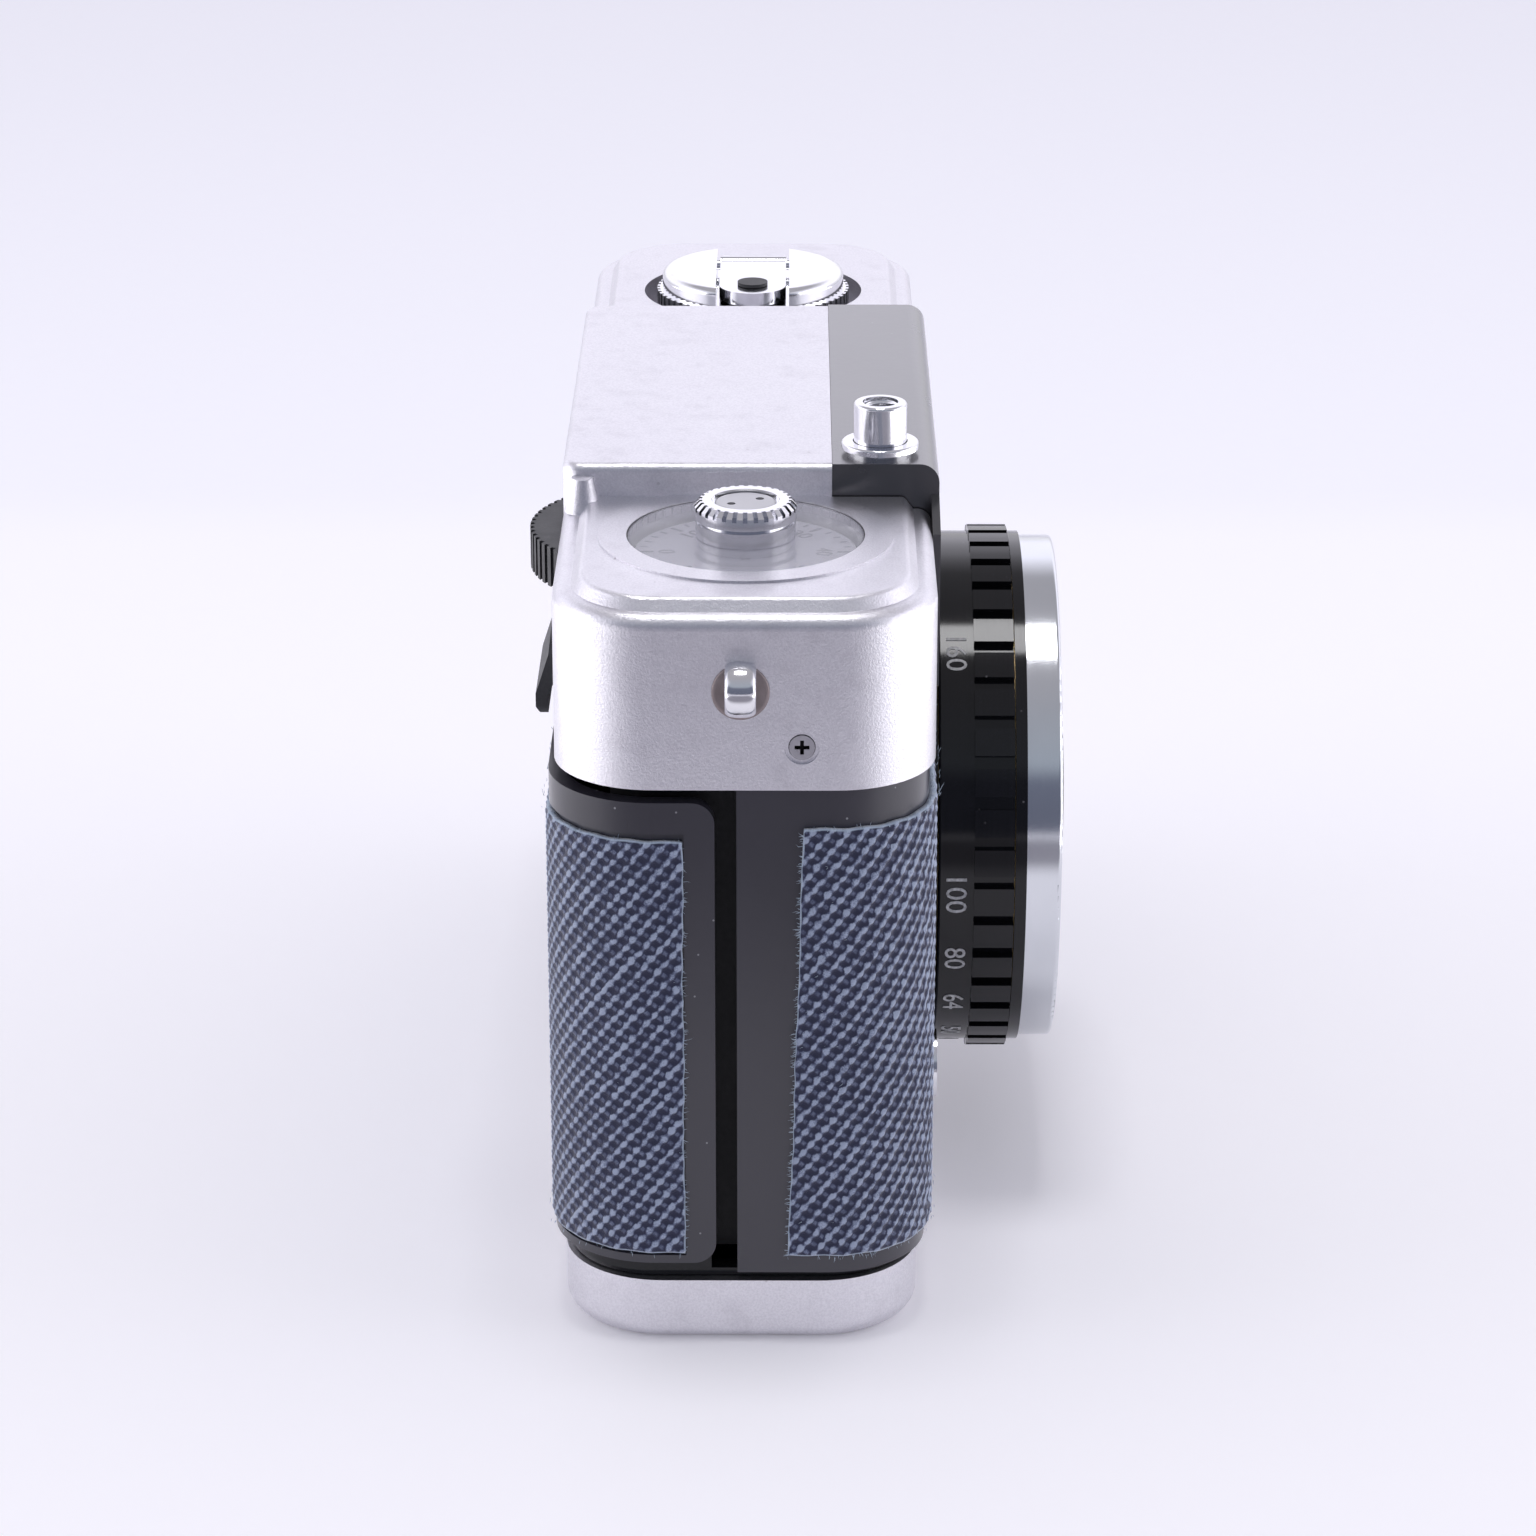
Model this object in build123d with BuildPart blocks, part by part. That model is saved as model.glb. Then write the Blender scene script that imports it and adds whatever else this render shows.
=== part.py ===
from build123d import *
import os
from math import atan2, degrees, hypot, pi, sqrt

# A half frame viewfinder camera, in millimetres, +Z up. The origin is the mouth of the tripod
# socket in the middle of the underside. +X runs along the camera to the rewind end, the lens
# looks along -Y and the film back is on +Y. "Near" pieces are at the -X end.

os.makedirs("parts", exist_ok=True)

# ---- driving dimensions: the outside ----
half_length = 55.0
half_depth = 15.05
corner_radius = 8.0
wall = 1.0
base_height = 5.5
base_front, base_back = -14.0, 14.7
base_floor = 1.2
shell_front, shell_half_length = -14.6, 54.6
shell_bottom, shell_top = 6.3, 48.0
front_shell_edge = 0.6
back_edge = 2.3
back_outer = 15.2
back_bottom, back_top = 7.3, 47.0
leather_thickness = 0.7
leather_bottom, leather_top = 8.0, 44.8
cover_bottom = 48.1
rim_top = 62.3
plateau_top = 63.3
block_top = 66.0
block_near, block_far, block_front = -28.0, 21.0, -6.93
panel_front = -15.7

# ---- driving dimensions: axes of the mechanism ----
lens_x, lens_z = -8.2, 30.5
wheel_x, wheel_y = -26.0, 6.3
counter_x = -38.1
rewind_x = 36.0
button_x, button_y = -24.4, -10.9
latch_x = 34.0
finder_x, finder_z = 2.0, 59.0

# ---- driving dimensions: the film path ----
gate_width, gate_height = 18.0, 24.0
film_plane = 11.2
perforation_pitch, sprocket_teeth = 4.75, 8
sprocket_radius = sprocket_teeth * perforation_pitch / (2 * pi)
perforation_offset = 14.1
cassette_chamber_radius = 12.7
takeup_chamber_radius = 11.0
casting_bottom, casting_top = 7.0, 52.8
deck_top = 53.6

# ---- running fits ----
fit = 0.05
clear = 0.1


def plan(height, half_x, front, back, radius):
    """A rounded rectangle seen from above, at a height."""
    with BuildSketch(Plane.XY.offset(height)) as outline:
        with Locations((0, (front + back) / 2)):
            RectangleRounded(2 * half_x, back - front, radius)
    return outline.sketch


def tube(plane, outer, inner, length, mode=Mode.ADD):
    """A ring, or a disc when inner is 0, extruded from a plane along its normal."""
    with BuildSketch(plane) as section:
        Circle(outer)
        if inner > 0:
            Circle(inner, mode=Mode.SUBTRACT)
    extrude(section.sketch, amount=length, mode=mode)


def block(low, high, mode=Mode.ADD):
    """A rectangular block given by its lowest and highest corners."""
    size = [top - bottom for bottom, top in zip(low, high)]
    middle = [(top + bottom) / 2 for bottom, top in zip(low, high)]
    with Locations(tuple(middle)):
        Box(*size, mode=mode)


def upright(x, y, z):
    """A level plane whose origin is a point on a vertical axis."""
    return Plane(origin=(x, y, z), x_dir=(1, 0, 0), z_dir=(0, 0, 1))


def forward(depth, x=lens_x, z=lens_z):
    """A plane that looks along -Y, at a depth in front of the film body's middle."""
    return Plane(origin=(x, -depth, z), x_dir=(1, 0, 0), z_dir=(0, -1, 0))


def top_edges(builder):
    """The edges around the highest face."""
    return builder.faces().sort_by(Axis.Z)[-1].edges()


# =====================================================================================
# Film back: base plate, frame, back shell and what they carry. It comes off downwards.
# =====================================================================================
socket_radius, socket_bore = 6.0, 2.6
latch_hole_radius = 7.3
release_radius = 2.4

with BuildPart() as bottom_plate:
    extrude(plan(0, half_length - 0.5, base_front, base_back, corner_radius), amount=base_height)
    fillet(bottom_plate.faces().sort_by(Axis.Z)[0].edges(), 1.6)
    extrude(plan(base_floor, half_length - 1.6, base_front + 1.1, base_back - 1.1, 6.9),
            amount=base_height, mode=Mode.SUBTRACT)
    tube(Plane.XY, socket_radius, 0, base_floor, Mode.SUBTRACT)
    tube(upright(latch_x, 0, 0), latch_hole_radius, 0, base_floor, Mode.SUBTRACT)
    tube(upright(wheel_x, wheel_y, 0), release_radius + 0.3, 0, base_floor, Mode.SUBTRACT)
bottom_plate.part.label = "bottom_plate"
export_step(bottom_plate.part, "parts/bottom_plate.step")

# The black frame riveted inside the base plate, which also carries the back shell.
frame_top, frame_upstand = 6.2, 12.0
with BuildPart() as base_frame:
    extrude(plan(base_floor, half_length - 1.6, base_front + 1.1, base_back - 1.1, 6.9),
            amount=frame_top - base_floor)
    extrude(plan(base_height + clear, shell_half_length - wall, shell_front + wall, back_outer - wall, 7),
            amount=frame_upstand - base_height - clear)
    extrude(plan(base_floor, 52.0, -11.5, 12.3, 5.5), amount=frame_upstand, mode=Mode.SUBTRACT)
    block((-60, -20, frame_top), (60, back_edge + 0.4, 20), Mode.SUBTRACT)
base_frame.part.label = "base_frame"
export_step(base_frame.part, "parts/base_frame.step")

with BuildPart() as tripod_socket:
    tube(Plane.XY, socket_radius, socket_bore, 5.0)
    tube(Plane.XY.offset(base_floor), 8.0, socket_bore, 1.0)
    tube(Plane.XY.offset(5.0), socket_radius, 0, 0.8)
tripod_socket.part.label = "tripod_socket"
export_step(tripod_socket.part, "parts/tripod_socket.step")

# The back shell is a pressing with a raised rim along its three free edges at each end.
rim_width, rim_height = 2.4, 0.35
with BuildPart() as back_rim:
    extrude(plan(back_bottom, shell_half_length + rim_height, shell_front, back_outer + rim_height,
                 corner_radius + rim_height), amount=back_top - back_bottom)
    extrude(plan(back_bottom, shell_half_length, shell_front, back_outer, corner_radius),
            amount=back_top - back_bottom, mode=Mode.SUBTRACT)
    block((-60, back_edge + rim_width, leather_bottom), (60, 20, leather_top - 0.4), Mode.SUBTRACT)

with BuildPart() as back_shell:
    extrude(plan(back_bottom, shell_half_length, shell_front, back_outer, corner_radius),
            amount=back_top - back_bottom)
    add(back_rim.part)
    extrude(plan(back_bottom, shell_half_length - wall, shell_front, back_outer - wall, 7),
            amount=back_top - back_bottom, mode=Mode.SUBTRACT)
    block((-60, -20, 0), (60, back_edge, 60), Mode.SUBTRACT)
    corners = back_shell.edges().filter_by(Axis.X).group_by(Axis.Y)[0]
    fillet(corners, 1.8)
back_shell.part.label = "back_shell"
export_step(back_shell.part, "parts/back_shell.step")

back_leather_edge = 4.8
with BuildPart() as back_leather:
    extrude(plan(leather_bottom + 0.3, shell_half_length + leather_thickness, shell_front,
                 back_outer + leather_thickness, corner_radius + leather_thickness), amount=35.5)
    extrude(plan(leather_bottom, shell_half_length, shell_front, back_outer, corner_radius),
            amount=40, mode=Mode.SUBTRACT)
    block((-60, -20, 0), (60, back_leather_edge, 60), Mode.SUBTRACT)
back_leather.part.label = "back_leather"
export_step(back_leather.part, "parts/back_leather.step")

plate_front, plate_back = 11.6, 12.4
with BuildPart() as pressure_plate:
    block((-18.2, plate_front, 13.5), (13.0, plate_back, 46.0))
    fillet(pressure_plate.edges().filter_by(Axis.Y), 2.0)
pressure_plate.part.label = "pressure_plate"
export_step(pressure_plate.part, "parts/pressure_plate.step")

# Two bowed leaf springs push the plate off the back shell.
leaf_thickness, leaf_half_length = 0.25, 7.0
leaf_rise = back_outer - wall - plate_back - leaf_thickness
with BuildPart() as pressure_springs:
    for height in (lens_z - 9, lens_z + 9):
        with BuildSketch(Plane.XY.offset(height - 1.5)) as leaf:
            with BuildLine():
                ThreePointArc((-2.6 - leaf_half_length, plate_back), (-2.6, plate_back + leaf_rise),
                              (-2.6 + leaf_half_length, plate_back))
                Line((-2.6 + leaf_half_length, plate_back), (-2.1 + leaf_half_length, plate_back))
                ThreePointArc((-2.1 + leaf_half_length, plate_back),
                              (-2.6, plate_back + leaf_rise + leaf_thickness),
                              (-3.1 - leaf_half_length, plate_back))
                Line((-3.1 - leaf_half_length, plate_back), (-2.6 - leaf_half_length, plate_back))
            make_face()
        extrude(amount=3.0)
pressure_springs.part.label = "pressure_springs"
export_step(pressure_springs.part, "parts/pressure_springs.step")

# The turning lock in the base: a disc with a folding tab, and the cam on its inner end.
latch_disc_radius = latch_hole_radius - clear
tab_axis_z = 0.5
with BuildPart() as latch_disc:
    tube(upright(latch_x, 0, 1.0), latch_disc_radius, 0, 1.1)
    tube(upright(latch_x, 0, base_floor + clear), 8.4, 0, 0.8)
    for side in (-1, 1):
        block((latch_x + side * 5.8 - 0.6, -0.4, 0.1), (latch_x + side * 5.8 + 0.6, 0.4, 1.0))
    tube(Plane(origin=(latch_x - 6, 0, tab_axis_z), z_dir=(1, 0, 0)), 0.2, 0, 12)
latch_disc.part.label = "latch_disc"
export_step(latch_disc.part, "parts/latch_disc.step")

cam_bottom, cam_top = 3.2, 4.2
with BuildPart() as latch_cam:
    tube(upright(latch_x, 0, 2.1), 2.4, 0, cam_top - 2.1)
    with BuildSketch(upright(latch_x, 0, cam_bottom)):
        SlotOverall(11, 4, rotation=90)
    extrude(amount=cam_top - cam_bottom)
latch_cam.part.label = "latch_cam"
export_step(latch_cam.part, "parts/latch_cam.step")

tab_radius = 6.8
with BuildPart() as latch_tab:
    with BuildSketch(upright(latch_x, 0, 0.2)):
        Circle(tab_radius)
        with Locations((0, -tab_radius)):
            Rectangle(2 * tab_radius, 2 * tab_radius, mode=Mode.SUBTRACT)
        for side in (-1, 1):
            with Locations((side * 6.6, 0)):
                Rectangle(3.0, 2.4, mode=Mode.SUBTRACT)
    extrude(amount=0.6)
    knuckle = Plane(origin=(latch_x - 5.0, 0, tab_axis_z), z_dir=(1, 0, 0))
    tube(knuckle, 0.38, 0, 10.0)
    tube(Plane(origin=(latch_x - 6, 0, tab_axis_z), z_dir=(1, 0, 0)), 0.2 + fit, 0, 12.0, Mode.SUBTRACT)
latch_tab.part.label = "latch_tab"
export_step(latch_tab.part, "parts/latch_tab.step")

# =====================================================================================
# Fixed body: casting, front shell, coverings, deck and the lock's keeper.
# =====================================================================================
shaft_radius = 2.0
button_stem_radius = 1.2
pc_x, pc_z, pc_radius = -33.0, 15.0, 2.85
screw_y, screw_z, screw_radius = -4.48, 51.6, 0.7
with BuildPart() as body_casting:
    extrude(plan(casting_bottom, 53.4, -13.6, 15.0, 7), amount=casting_top - casting_bottom)
    block((-60, film_plane, 0), (60, 20, 60), Mode.SUBTRACT)
    for end in (-1, 1):
        low_x, high_x = sorted((end * 51.0, end * 60))
        block((low_x, 0.4, 0), (high_x, 20, 60), Mode.SUBTRACT)
    fillet(body_casting.edges().filter_by(Axis.Z).group_by(Axis.Y)[-1], 4.0)
    # cassette chamber, open to the back
    tube(upright(rewind_x, 0, 8.6), cassette_chamber_radius, 0, 43.0, Mode.SUBTRACT)
    block((rewind_x - cassette_chamber_radius, 0, 8.6), (rewind_x + cassette_chamber_radius, 20, 51.6),
          Mode.SUBTRACT)
    tube(upright(rewind_x, 0, 50), 5.2, 0, 5, Mode.SUBTRACT)
    # take-up chamber, with the spool's two pivot holes
    tube(upright(counter_x, 0, 11.0), takeup_chamber_radius, 0, 39.2, Mode.SUBTRACT)
    block((counter_x - takeup_chamber_radius, 0, 11.0), (counter_x + takeup_chamber_radius, 20, 50.2),
          Mode.SUBTRACT)
    tube(upright(counter_x, 0, 8.0), 1.5 + fit, 0, 50, Mode.SUBTRACT)
    # sprocket well, with the wheel shaft's bearings and the release pin's hole
    tube(upright(wheel_x, wheel_y, 11.5), sprocket_radius + 1.6, 0, 38.7, Mode.SUBTRACT)
    tube(upright(wheel_x, wheel_y, 9.8), shaft_radius + fit, 0, 50, Mode.SUBTRACT)
    tube(upright(wheel_x, wheel_y, 0), 1.5 + fit, 0, 10, Mode.SUBTRACT)
    # light box behind the lens, ending in the film gate
    block((lens_x - gate_width / 2, -20, lens_z - gate_height / 2),
          (lens_x + gate_width / 2, 20, lens_z + gate_height / 2), Mode.SUBTRACT)
    tube(forward(8.0), 13.0, 0, 10, Mode.SUBTRACT)
    # two hooks under the cassette chamber that the latch cam turns over
    for side in (-1, 1):
        inner, outer = sorted((latch_x + side * 6.3, latch_x + side * 7.3))
        block((inner, -3, 2.4), (outer, 3, casting_bottom))
        inner, outer = sorted((latch_x + side * 3.2, latch_x + side * 7.3))
        block((inner, -3, 2.4), (outer, 3, 3.0))
    # pockets for the flash socket, the end screws and the shutter button's stem
    tube(forward(11.8, pc_x, pc_z), pc_radius - 0.4, 0, 5, Mode.SUBTRACT)
    for end in (-1, 1):
        tube(Plane(origin=(end * 56, screw_y, screw_z), z_dir=(-end, 0, 0)), screw_radius, 0, 4.2,
             Mode.SUBTRACT)
    tube(upright(button_x, button_y, 47), button_stem_radius + fit, 0, 10, Mode.SUBTRACT)
body_casting.part.label = "body_casting"
export_step(body_casting.part, "parts/body_casting.step")

lens_hole_radius = 16.0
with BuildPart() as front_shell:
    extrude(plan(shell_bottom, shell_half_length, shell_front, back_outer, corner_radius),
            amount=shell_top - shell_bottom)
    extrude(plan(shell_bottom, 53.5, -13.7, back_outer - wall, 6.9), amount=shell_top, mode=Mode.SUBTRACT)
    block((-60, front_shell_edge, 0), (60, 20, 60), Mode.SUBTRACT)
    tube(forward(10.0), lens_hole_radius, 0, 10, Mode.SUBTRACT)
    tube(forward(10.0, pc_x, pc_z), pc_radius - 0.6, 0, 10, Mode.SUBTRACT)
front_shell.part.label = "front_shell"
export_step(front_shell.part, "parts/front_shell.step")

leather_hole_radius = 23.3


def front_covering(edge_top, edge_bottom):
    """The covering that wraps the front shell, cut on a slant at both ends, with the lens left free."""
    with BuildPart() as sheet:
        extrude(plan(leather_bottom, shell_half_length + leather_thickness,
                     shell_front - leather_thickness, back_outer, corner_radius + leather_thickness),
                amount=leather_top - leather_bottom)
        extrude(plan(leather_bottom, shell_half_length, shell_front, back_outer, corner_radius),
                amount=40, mode=Mode.SUBTRACT)
        with BuildSketch(Plane.YZ.offset(-60)):
            with BuildLine():
                Polyline((edge_bottom, leather_bottom - 1), (edge_top, leather_top + 1),
                         (20, leather_top + 1), (20, leather_bottom - 1), close=True)
            make_face()
        extrude(amount=120, mode=Mode.SUBTRACT)
        tube(forward(10.0), leather_hole_radius, 0, 10, Mode.SUBTRACT)
        tube(forward(10.0, pc_x, pc_z), pc_radius + 0.2, 0, 10, Mode.SUBTRACT)
    return sheet.part


with BuildPart() as front_leather_near:
    add(front_covering(-4.65, -3.5))
    block((lens_x, -20, 0), (60, 20, 60), Mode.SUBTRACT)
front_leather_near.part.label = "front_leather_near"
export_step(front_leather_near.part, "parts/front_leather_near.step")

with BuildPart() as front_leather_far:
    add(front_covering(-3.9, -4.2))
    block((-60, -20, 0), (lens_x, 20, 60), Mode.SUBTRACT)
front_leather_far.part.label = "front_leather_far"
export_step(front_leather_far.part, "parts/front_leather_far.step")

with BuildPart() as top_deck:
    extrude(plan(casting_top, 49.5, -13.2, 10.8, 5), amount=deck_top - casting_top)
    tube(upright(rewind_x, 0, casting_top), 5.2, 0, 1, Mode.SUBTRACT)
    tube(upright(counter_x, 0, casting_top), 1.5 + fit, 0, 1, Mode.SUBTRACT)
    tube(upright(wheel_x, wheel_y, casting_top), shaft_radius + fit, 0, 1, Mode.SUBTRACT)
    tube(upright(button_x, button_y, casting_top), button_stem_radius + fit, 0, 1, Mode.SUBTRACT)
    # a tab bent up from the deck carries the counter's spindle over the take-up gear
    block((-47.5, -3, deck_top), (-46.0, 3, 56.4))
    block((-47.5, -3, 55.6), (-36.2, 3, 56.4))
    tube(upright(counter_x, 0, 55), 1.0 + fit, 0, 3, Mode.SUBTRACT)
top_deck.part.label = "top_deck"
export_step(top_deck.part, "parts/top_deck.step")

# =====================================================================================
# Top cover and what is fixed to it
# =====================================================================================
wheel_radius, wheel_bottom, wheel_top = 11.5, 57.0, 60.3
slot_half = sqrt(wheel_radius ** 2 - (half_depth - wall - wheel_y) ** 2) + 0.6
dial_window_radius = 9.5
recess_radius, recess_floor = 10.2, 60.3
lug_y, lug_z = 0.25, 56.6
flange_radius = 21.5


def cover_form(inset):
    """The outside form of the top cover, drawn in by inset on every face but the bottom."""
    with BuildPart() as lower:
        extrude(plan(cover_bottom, half_length - inset, -half_depth + inset, half_depth - inset,
                     corner_radius - inset), amount=rim_top - inset - cover_bottom)
        fillet(top_edges(lower), 1.2)
    with BuildPart() as plateau:
        extrude(plan(rim_top - inset - 0.2, 54.1 - inset, -13.7 + inset, 13.7 - inset, 7.2 - inset),
                amount=plateau_top - rim_top + 0.2, taper=36)
        fillet(top_edges(plateau), 0.55)
    with BuildPart() as raised:
        block((block_near + inset, block_front, 55), (block_far - inset, half_depth - inset, block_top - inset))
        fillet(raised.edges().filter_by(Axis.Z).group_by(Axis.Y)[-1], 1.6)
        fillet(top_edges(raised).group_by(Axis.Y)[1:][0], 0.7)
    with BuildPart() as form:
        add(lower.part)
        add(plateau.part)
        add(raised.part)
    return form.part


with BuildPart() as top_cover:
    add(cover_form(0))
    add(cover_form(wall), mode=Mode.SUBTRACT)
    # the near back corner of the raised block is dressed down into the shoulder
    with BuildSketch(Plane.XY.offset(rim_top)):
        with Locations((block_near - 0.6, half_depth - 1.7)):
            Circle(1.5)
    extrude(amount=block_top - rim_top - 0.9, taper=12)
    # the front is open where the finder panel fits
    block((block_near, -20, 49.5), (block_far, block_front, 70), Mode.SUBTRACT)
    # seat of the counter window, and the embossed ring around it
    tube(upright(counter_x, 0, rim_top - 1.0), dial_window_radius + 2.3, dial_window_radius, 2.15)
    tube(upright(counter_x, 0, 60.0), dial_window_radius, 0, 10, Mode.SUBTRACT)
    # cup for the rewind knob
    tube(upright(rewind_x, 0, recess_floor - wall), recess_radius + wall, 0, 3.6)
    tube(upright(rewind_x, 0, recess_floor), recess_radius, 0, 10, Mode.SUBTRACT)
    tube(upright(rewind_x, 0, recess_floor - 3), 4.6, 0, 5, Mode.SUBTRACT)
    # slot that the advance wheel comes out of
    block((wheel_x - slot_half, 10, wheel_bottom - 0.4), (wheel_x + slot_half, 20, wheel_top + 0.4),
          Mode.SUBTRACT)
    # the lens mount's flange bites into the lower edge
    tube(forward(12.0), flange_radius + 0.1, 0, 10, Mode.SUBTRACT)
    # countersunk seats of the end screws
    for end in (-1, 1):
        seat = Plane(origin=(end * half_length, screw_y, screw_z), z_dir=(-end, 0, 0))
        tube(seat, 1.35, 0, 0.25, Mode.SUBTRACT)
        tube(seat, 1.05, 0, 2.0, Mode.SUBTRACT)
    # eyepiece opening
    block((finder_x - 4.5, 10, finder_z - 3.6), (finder_x + 4.5, 20, finder_z + 3.6), Mode.SUBTRACT)
top_cover.part.label = "top_cover"
export_step(top_cover.part, "parts/top_cover.step")

# The black panel caps the front of the raised block and laps over the cover's front face.
panel_bottom, wing = 48.6, 4.7
with BuildPart() as finder_panel:
    block((block_near + 0.2, panel_front, panel_bottom + 1), (block_far - 0.1, block_front - 0.03, block_top))
    fillet(finder_panel.edges().filter_by(Axis.X).group_by(Axis.Y)[0].sort_by(Axis.Z)[-1], 1.6)
    block((block_near + 1.2, panel_front + wall, 40), (block_far - 1.1, 0, block_top - wall), Mode.SUBTRACT)
    block((-60, panel_front + wall, 40), (60, 0, deck_top + 0.7), Mode.SUBTRACT)
    with BuildSketch(Plane.XZ.offset(half_depth)):
        with BuildLine():
            Polyline((block_near - wing, panel_bottom), (block_near - wing, 61.6),
                     (block_near + 0.4, plateau_top + 0.2), (block_far - 0.4, plateau_top + 0.2),
                     (block_far + wing, 61.6), (block_far + wing, panel_bottom), close=True)
        make_face()
    extrude(amount=-panel_front - half_depth)
    block((block_near + 1.2, -half_depth - 0.1, panel_bottom + 1), (block_far - 1.1, 0, block_top - 3),
          Mode.SUBTRACT)
    tube(forward(12.0), flange_radius + 0.9, 0, 10, Mode.SUBTRACT)
    block((finder_x - 5.0, -20, finder_z - 3.8), (finder_x + 5.0, -10, finder_z + 3.8), Mode.SUBTRACT)
    block((finder_x + 7.6, -20, finder_z - 3.2), (finder_x + 15.6, -10, finder_z + 3.2), Mode.SUBTRACT)
    tube(upright(button_x, button_y, 60), 2.6, 0, 10, Mode.SUBTRACT)
finder_panel.part.label = "finder_panel"
export_step(finder_panel.part, "parts/finder_panel.step")

with BuildPart() as finder_window:
    block((finder_x - 5.0, -15.5, finder_z - 3.8), (finder_x + 5.0, -14.7, finder_z + 3.8))
    fillet(finder_window.edges().filter_by(Axis.Y), 0.05)
finder_window.part.label = "finder_window"
export_step(finder_window.part, "parts/finder_window.step")

with BuildPart() as frame_window:
    block((finder_x + 7.6, -15.4, finder_z - 3.2), (finder_x + 15.6, -14.7, finder_z + 3.2))
frame_window.part.label = "frame_window"
export_step(frame_window.part, "parts/frame_window.step")

with BuildPart() as finder_tunnel:
    block((finder_x - 6.5, -14.0, deck_top), (finder_x + 6.5, 13.9, finder_z + 5.0))
    block((finder_x - 5.5, -20, deck_top + 1), (finder_x + 5.5, 20, finder_z + 4.0), Mode.SUBTRACT)
finder_tunnel.part.label = "finder_tunnel"
export_step(finder_tunnel.part, "parts/finder_tunnel.step")

with BuildPart() as eyepiece_frame:
    with BuildSketch(Plane.XZ.offset(-half_depth)):
        with Locations((finder_x, finder_z)):
            RectangleRounded(12.0, 9.4, 2.0)
    extrude(amount=-1.1)
    fillet(eyepiece_frame.faces().sort_by(Axis.Y)[-1].edges(), 0.5)
    block((finder_x - 4.5, 13.9, finder_z - 3.6), (finder_x + 4.5, half_depth + 0.2, finder_z + 3.6))
    block((finder_x - 3.5, 10, finder_z - 2.6), (finder_x + 3.5, 20, finder_z + 2.6), Mode.SUBTRACT)
eyepiece_frame.part.label = "eyepiece_frame"
export_step(eyepiece_frame.part, "parts/eyepiece_frame.step")

with BuildPart() as eyepiece_lens:
    block((finder_x - 3.5, 14.2, finder_z - 2.6), (finder_x + 3.5, 15.4, finder_z + 2.6))
eyepiece_lens.part.label = "eyepiece_lens"
export_step(eyepiece_lens.part, "parts/eyepiece_lens.step")

button_radius = 2.18
with BuildPart() as button_collar:
    tube(upright(button_x, button_y, block_top - wall), 2.6, button_radius + 0.07, 1.6)
    tube(upright(button_x, button_y, 66.45), 3.17, button_radius + 0.07, 0.55)
    fillet(top_edges(button_collar).sort_by(SortBy.RADIUS)[-1], 0.2)
button_collar.part.label = "button_collar"
export_step(button_collar.part, "parts/button_collar.step")

window_hole = 4.0
with BuildPart() as counter_window:
    tube(upright(counter_x, 0, 62.6), dial_window_radius, window_hole, 0.75)
    fillet(top_edges(counter_window).sort_by(SortBy.RADIUS)[-1], 0.2)
counter_window.part.label = "counter_window"
export_step(counter_window.part, "parts/counter_window.step")

# A fixed loop for the strap at each end, standing on a round seat.
with BuildPart() as strap_lugs:
    for end in (-1, 1):
        seat = Plane(origin=(end * half_length, lug_y, lug_z - 0.4), z_dir=(end, 0, 0))
        tube(seat, 2.25, 0, 0.2)
        with BuildSketch(Plane.XZ.offset(-lug_y)) as loop:
            with Locations((end * (half_length + 0.5), lug_z)):
                Circle(2.2)
                Circle(1.0, mode=Mode.SUBTRACT)
            with Locations((end * (half_length - 2.9), lug_z)):
                Rectangle(6.0, 10.0, mode=Mode.SUBTRACT)
        extrude(loop.sketch, amount=1.3, both=True)
    rims = strap_lugs.edges().filter_by(GeomType.CIRCLE).filter_by(lambda edge: abs(edge.radius - 2.2) < 0.01)
    fillet(rims, 0.55)
strap_lugs.part.label = "strap_lugs"
export_step(strap_lugs.part, "parts/strap_lugs.step")

with BuildPart() as cover_screws:
    for end in (-1, 1):
        head = Plane(origin=(end * (half_length - 0.15), screw_y, screw_z), z_dir=(-end, 0, 0))
        tube(head, 1.0, 0, 0.9)
        tube(head, screw_radius, 0, 2.6)
        with BuildSketch(head) as cross:
            Rectangle(1.15, 0.3)
            Rectangle(0.3, 1.15)
        extrude(cross.sketch, amount=0.45, mode=Mode.SUBTRACT)
cover_screws.part.label = "cover_screws"
export_step(cover_screws.part, "parts/cover_screws.step")

# The tongue under the wheel is cranked outwards so that the thumb finds it.
with BuildPart() as thumb_rest:
    with BuildSketch(Plane.YZ.offset(wheel_x - 6)):
        with BuildLine():
            Polyline((half_depth, 55.2), (15.7, 55.2), (16.2, 51.0), (17.3, 47.6), (17.3, 46.5), (16.9, 45.7),
                     (16.3, 45.7), (16.3, 47.4), (15.6, 49.0), (half_depth, 49.0), close=True)
        make_face()
    extrude(amount=12)
    fillet(thumb_rest.edges().filter_by(Axis.Y).group_by(Axis.Z)[0], 1.0)
thumb_rest.part.label = "thumb_rest"
export_step(thumb_rest.part, "parts/thumb_rest.step")

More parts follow.
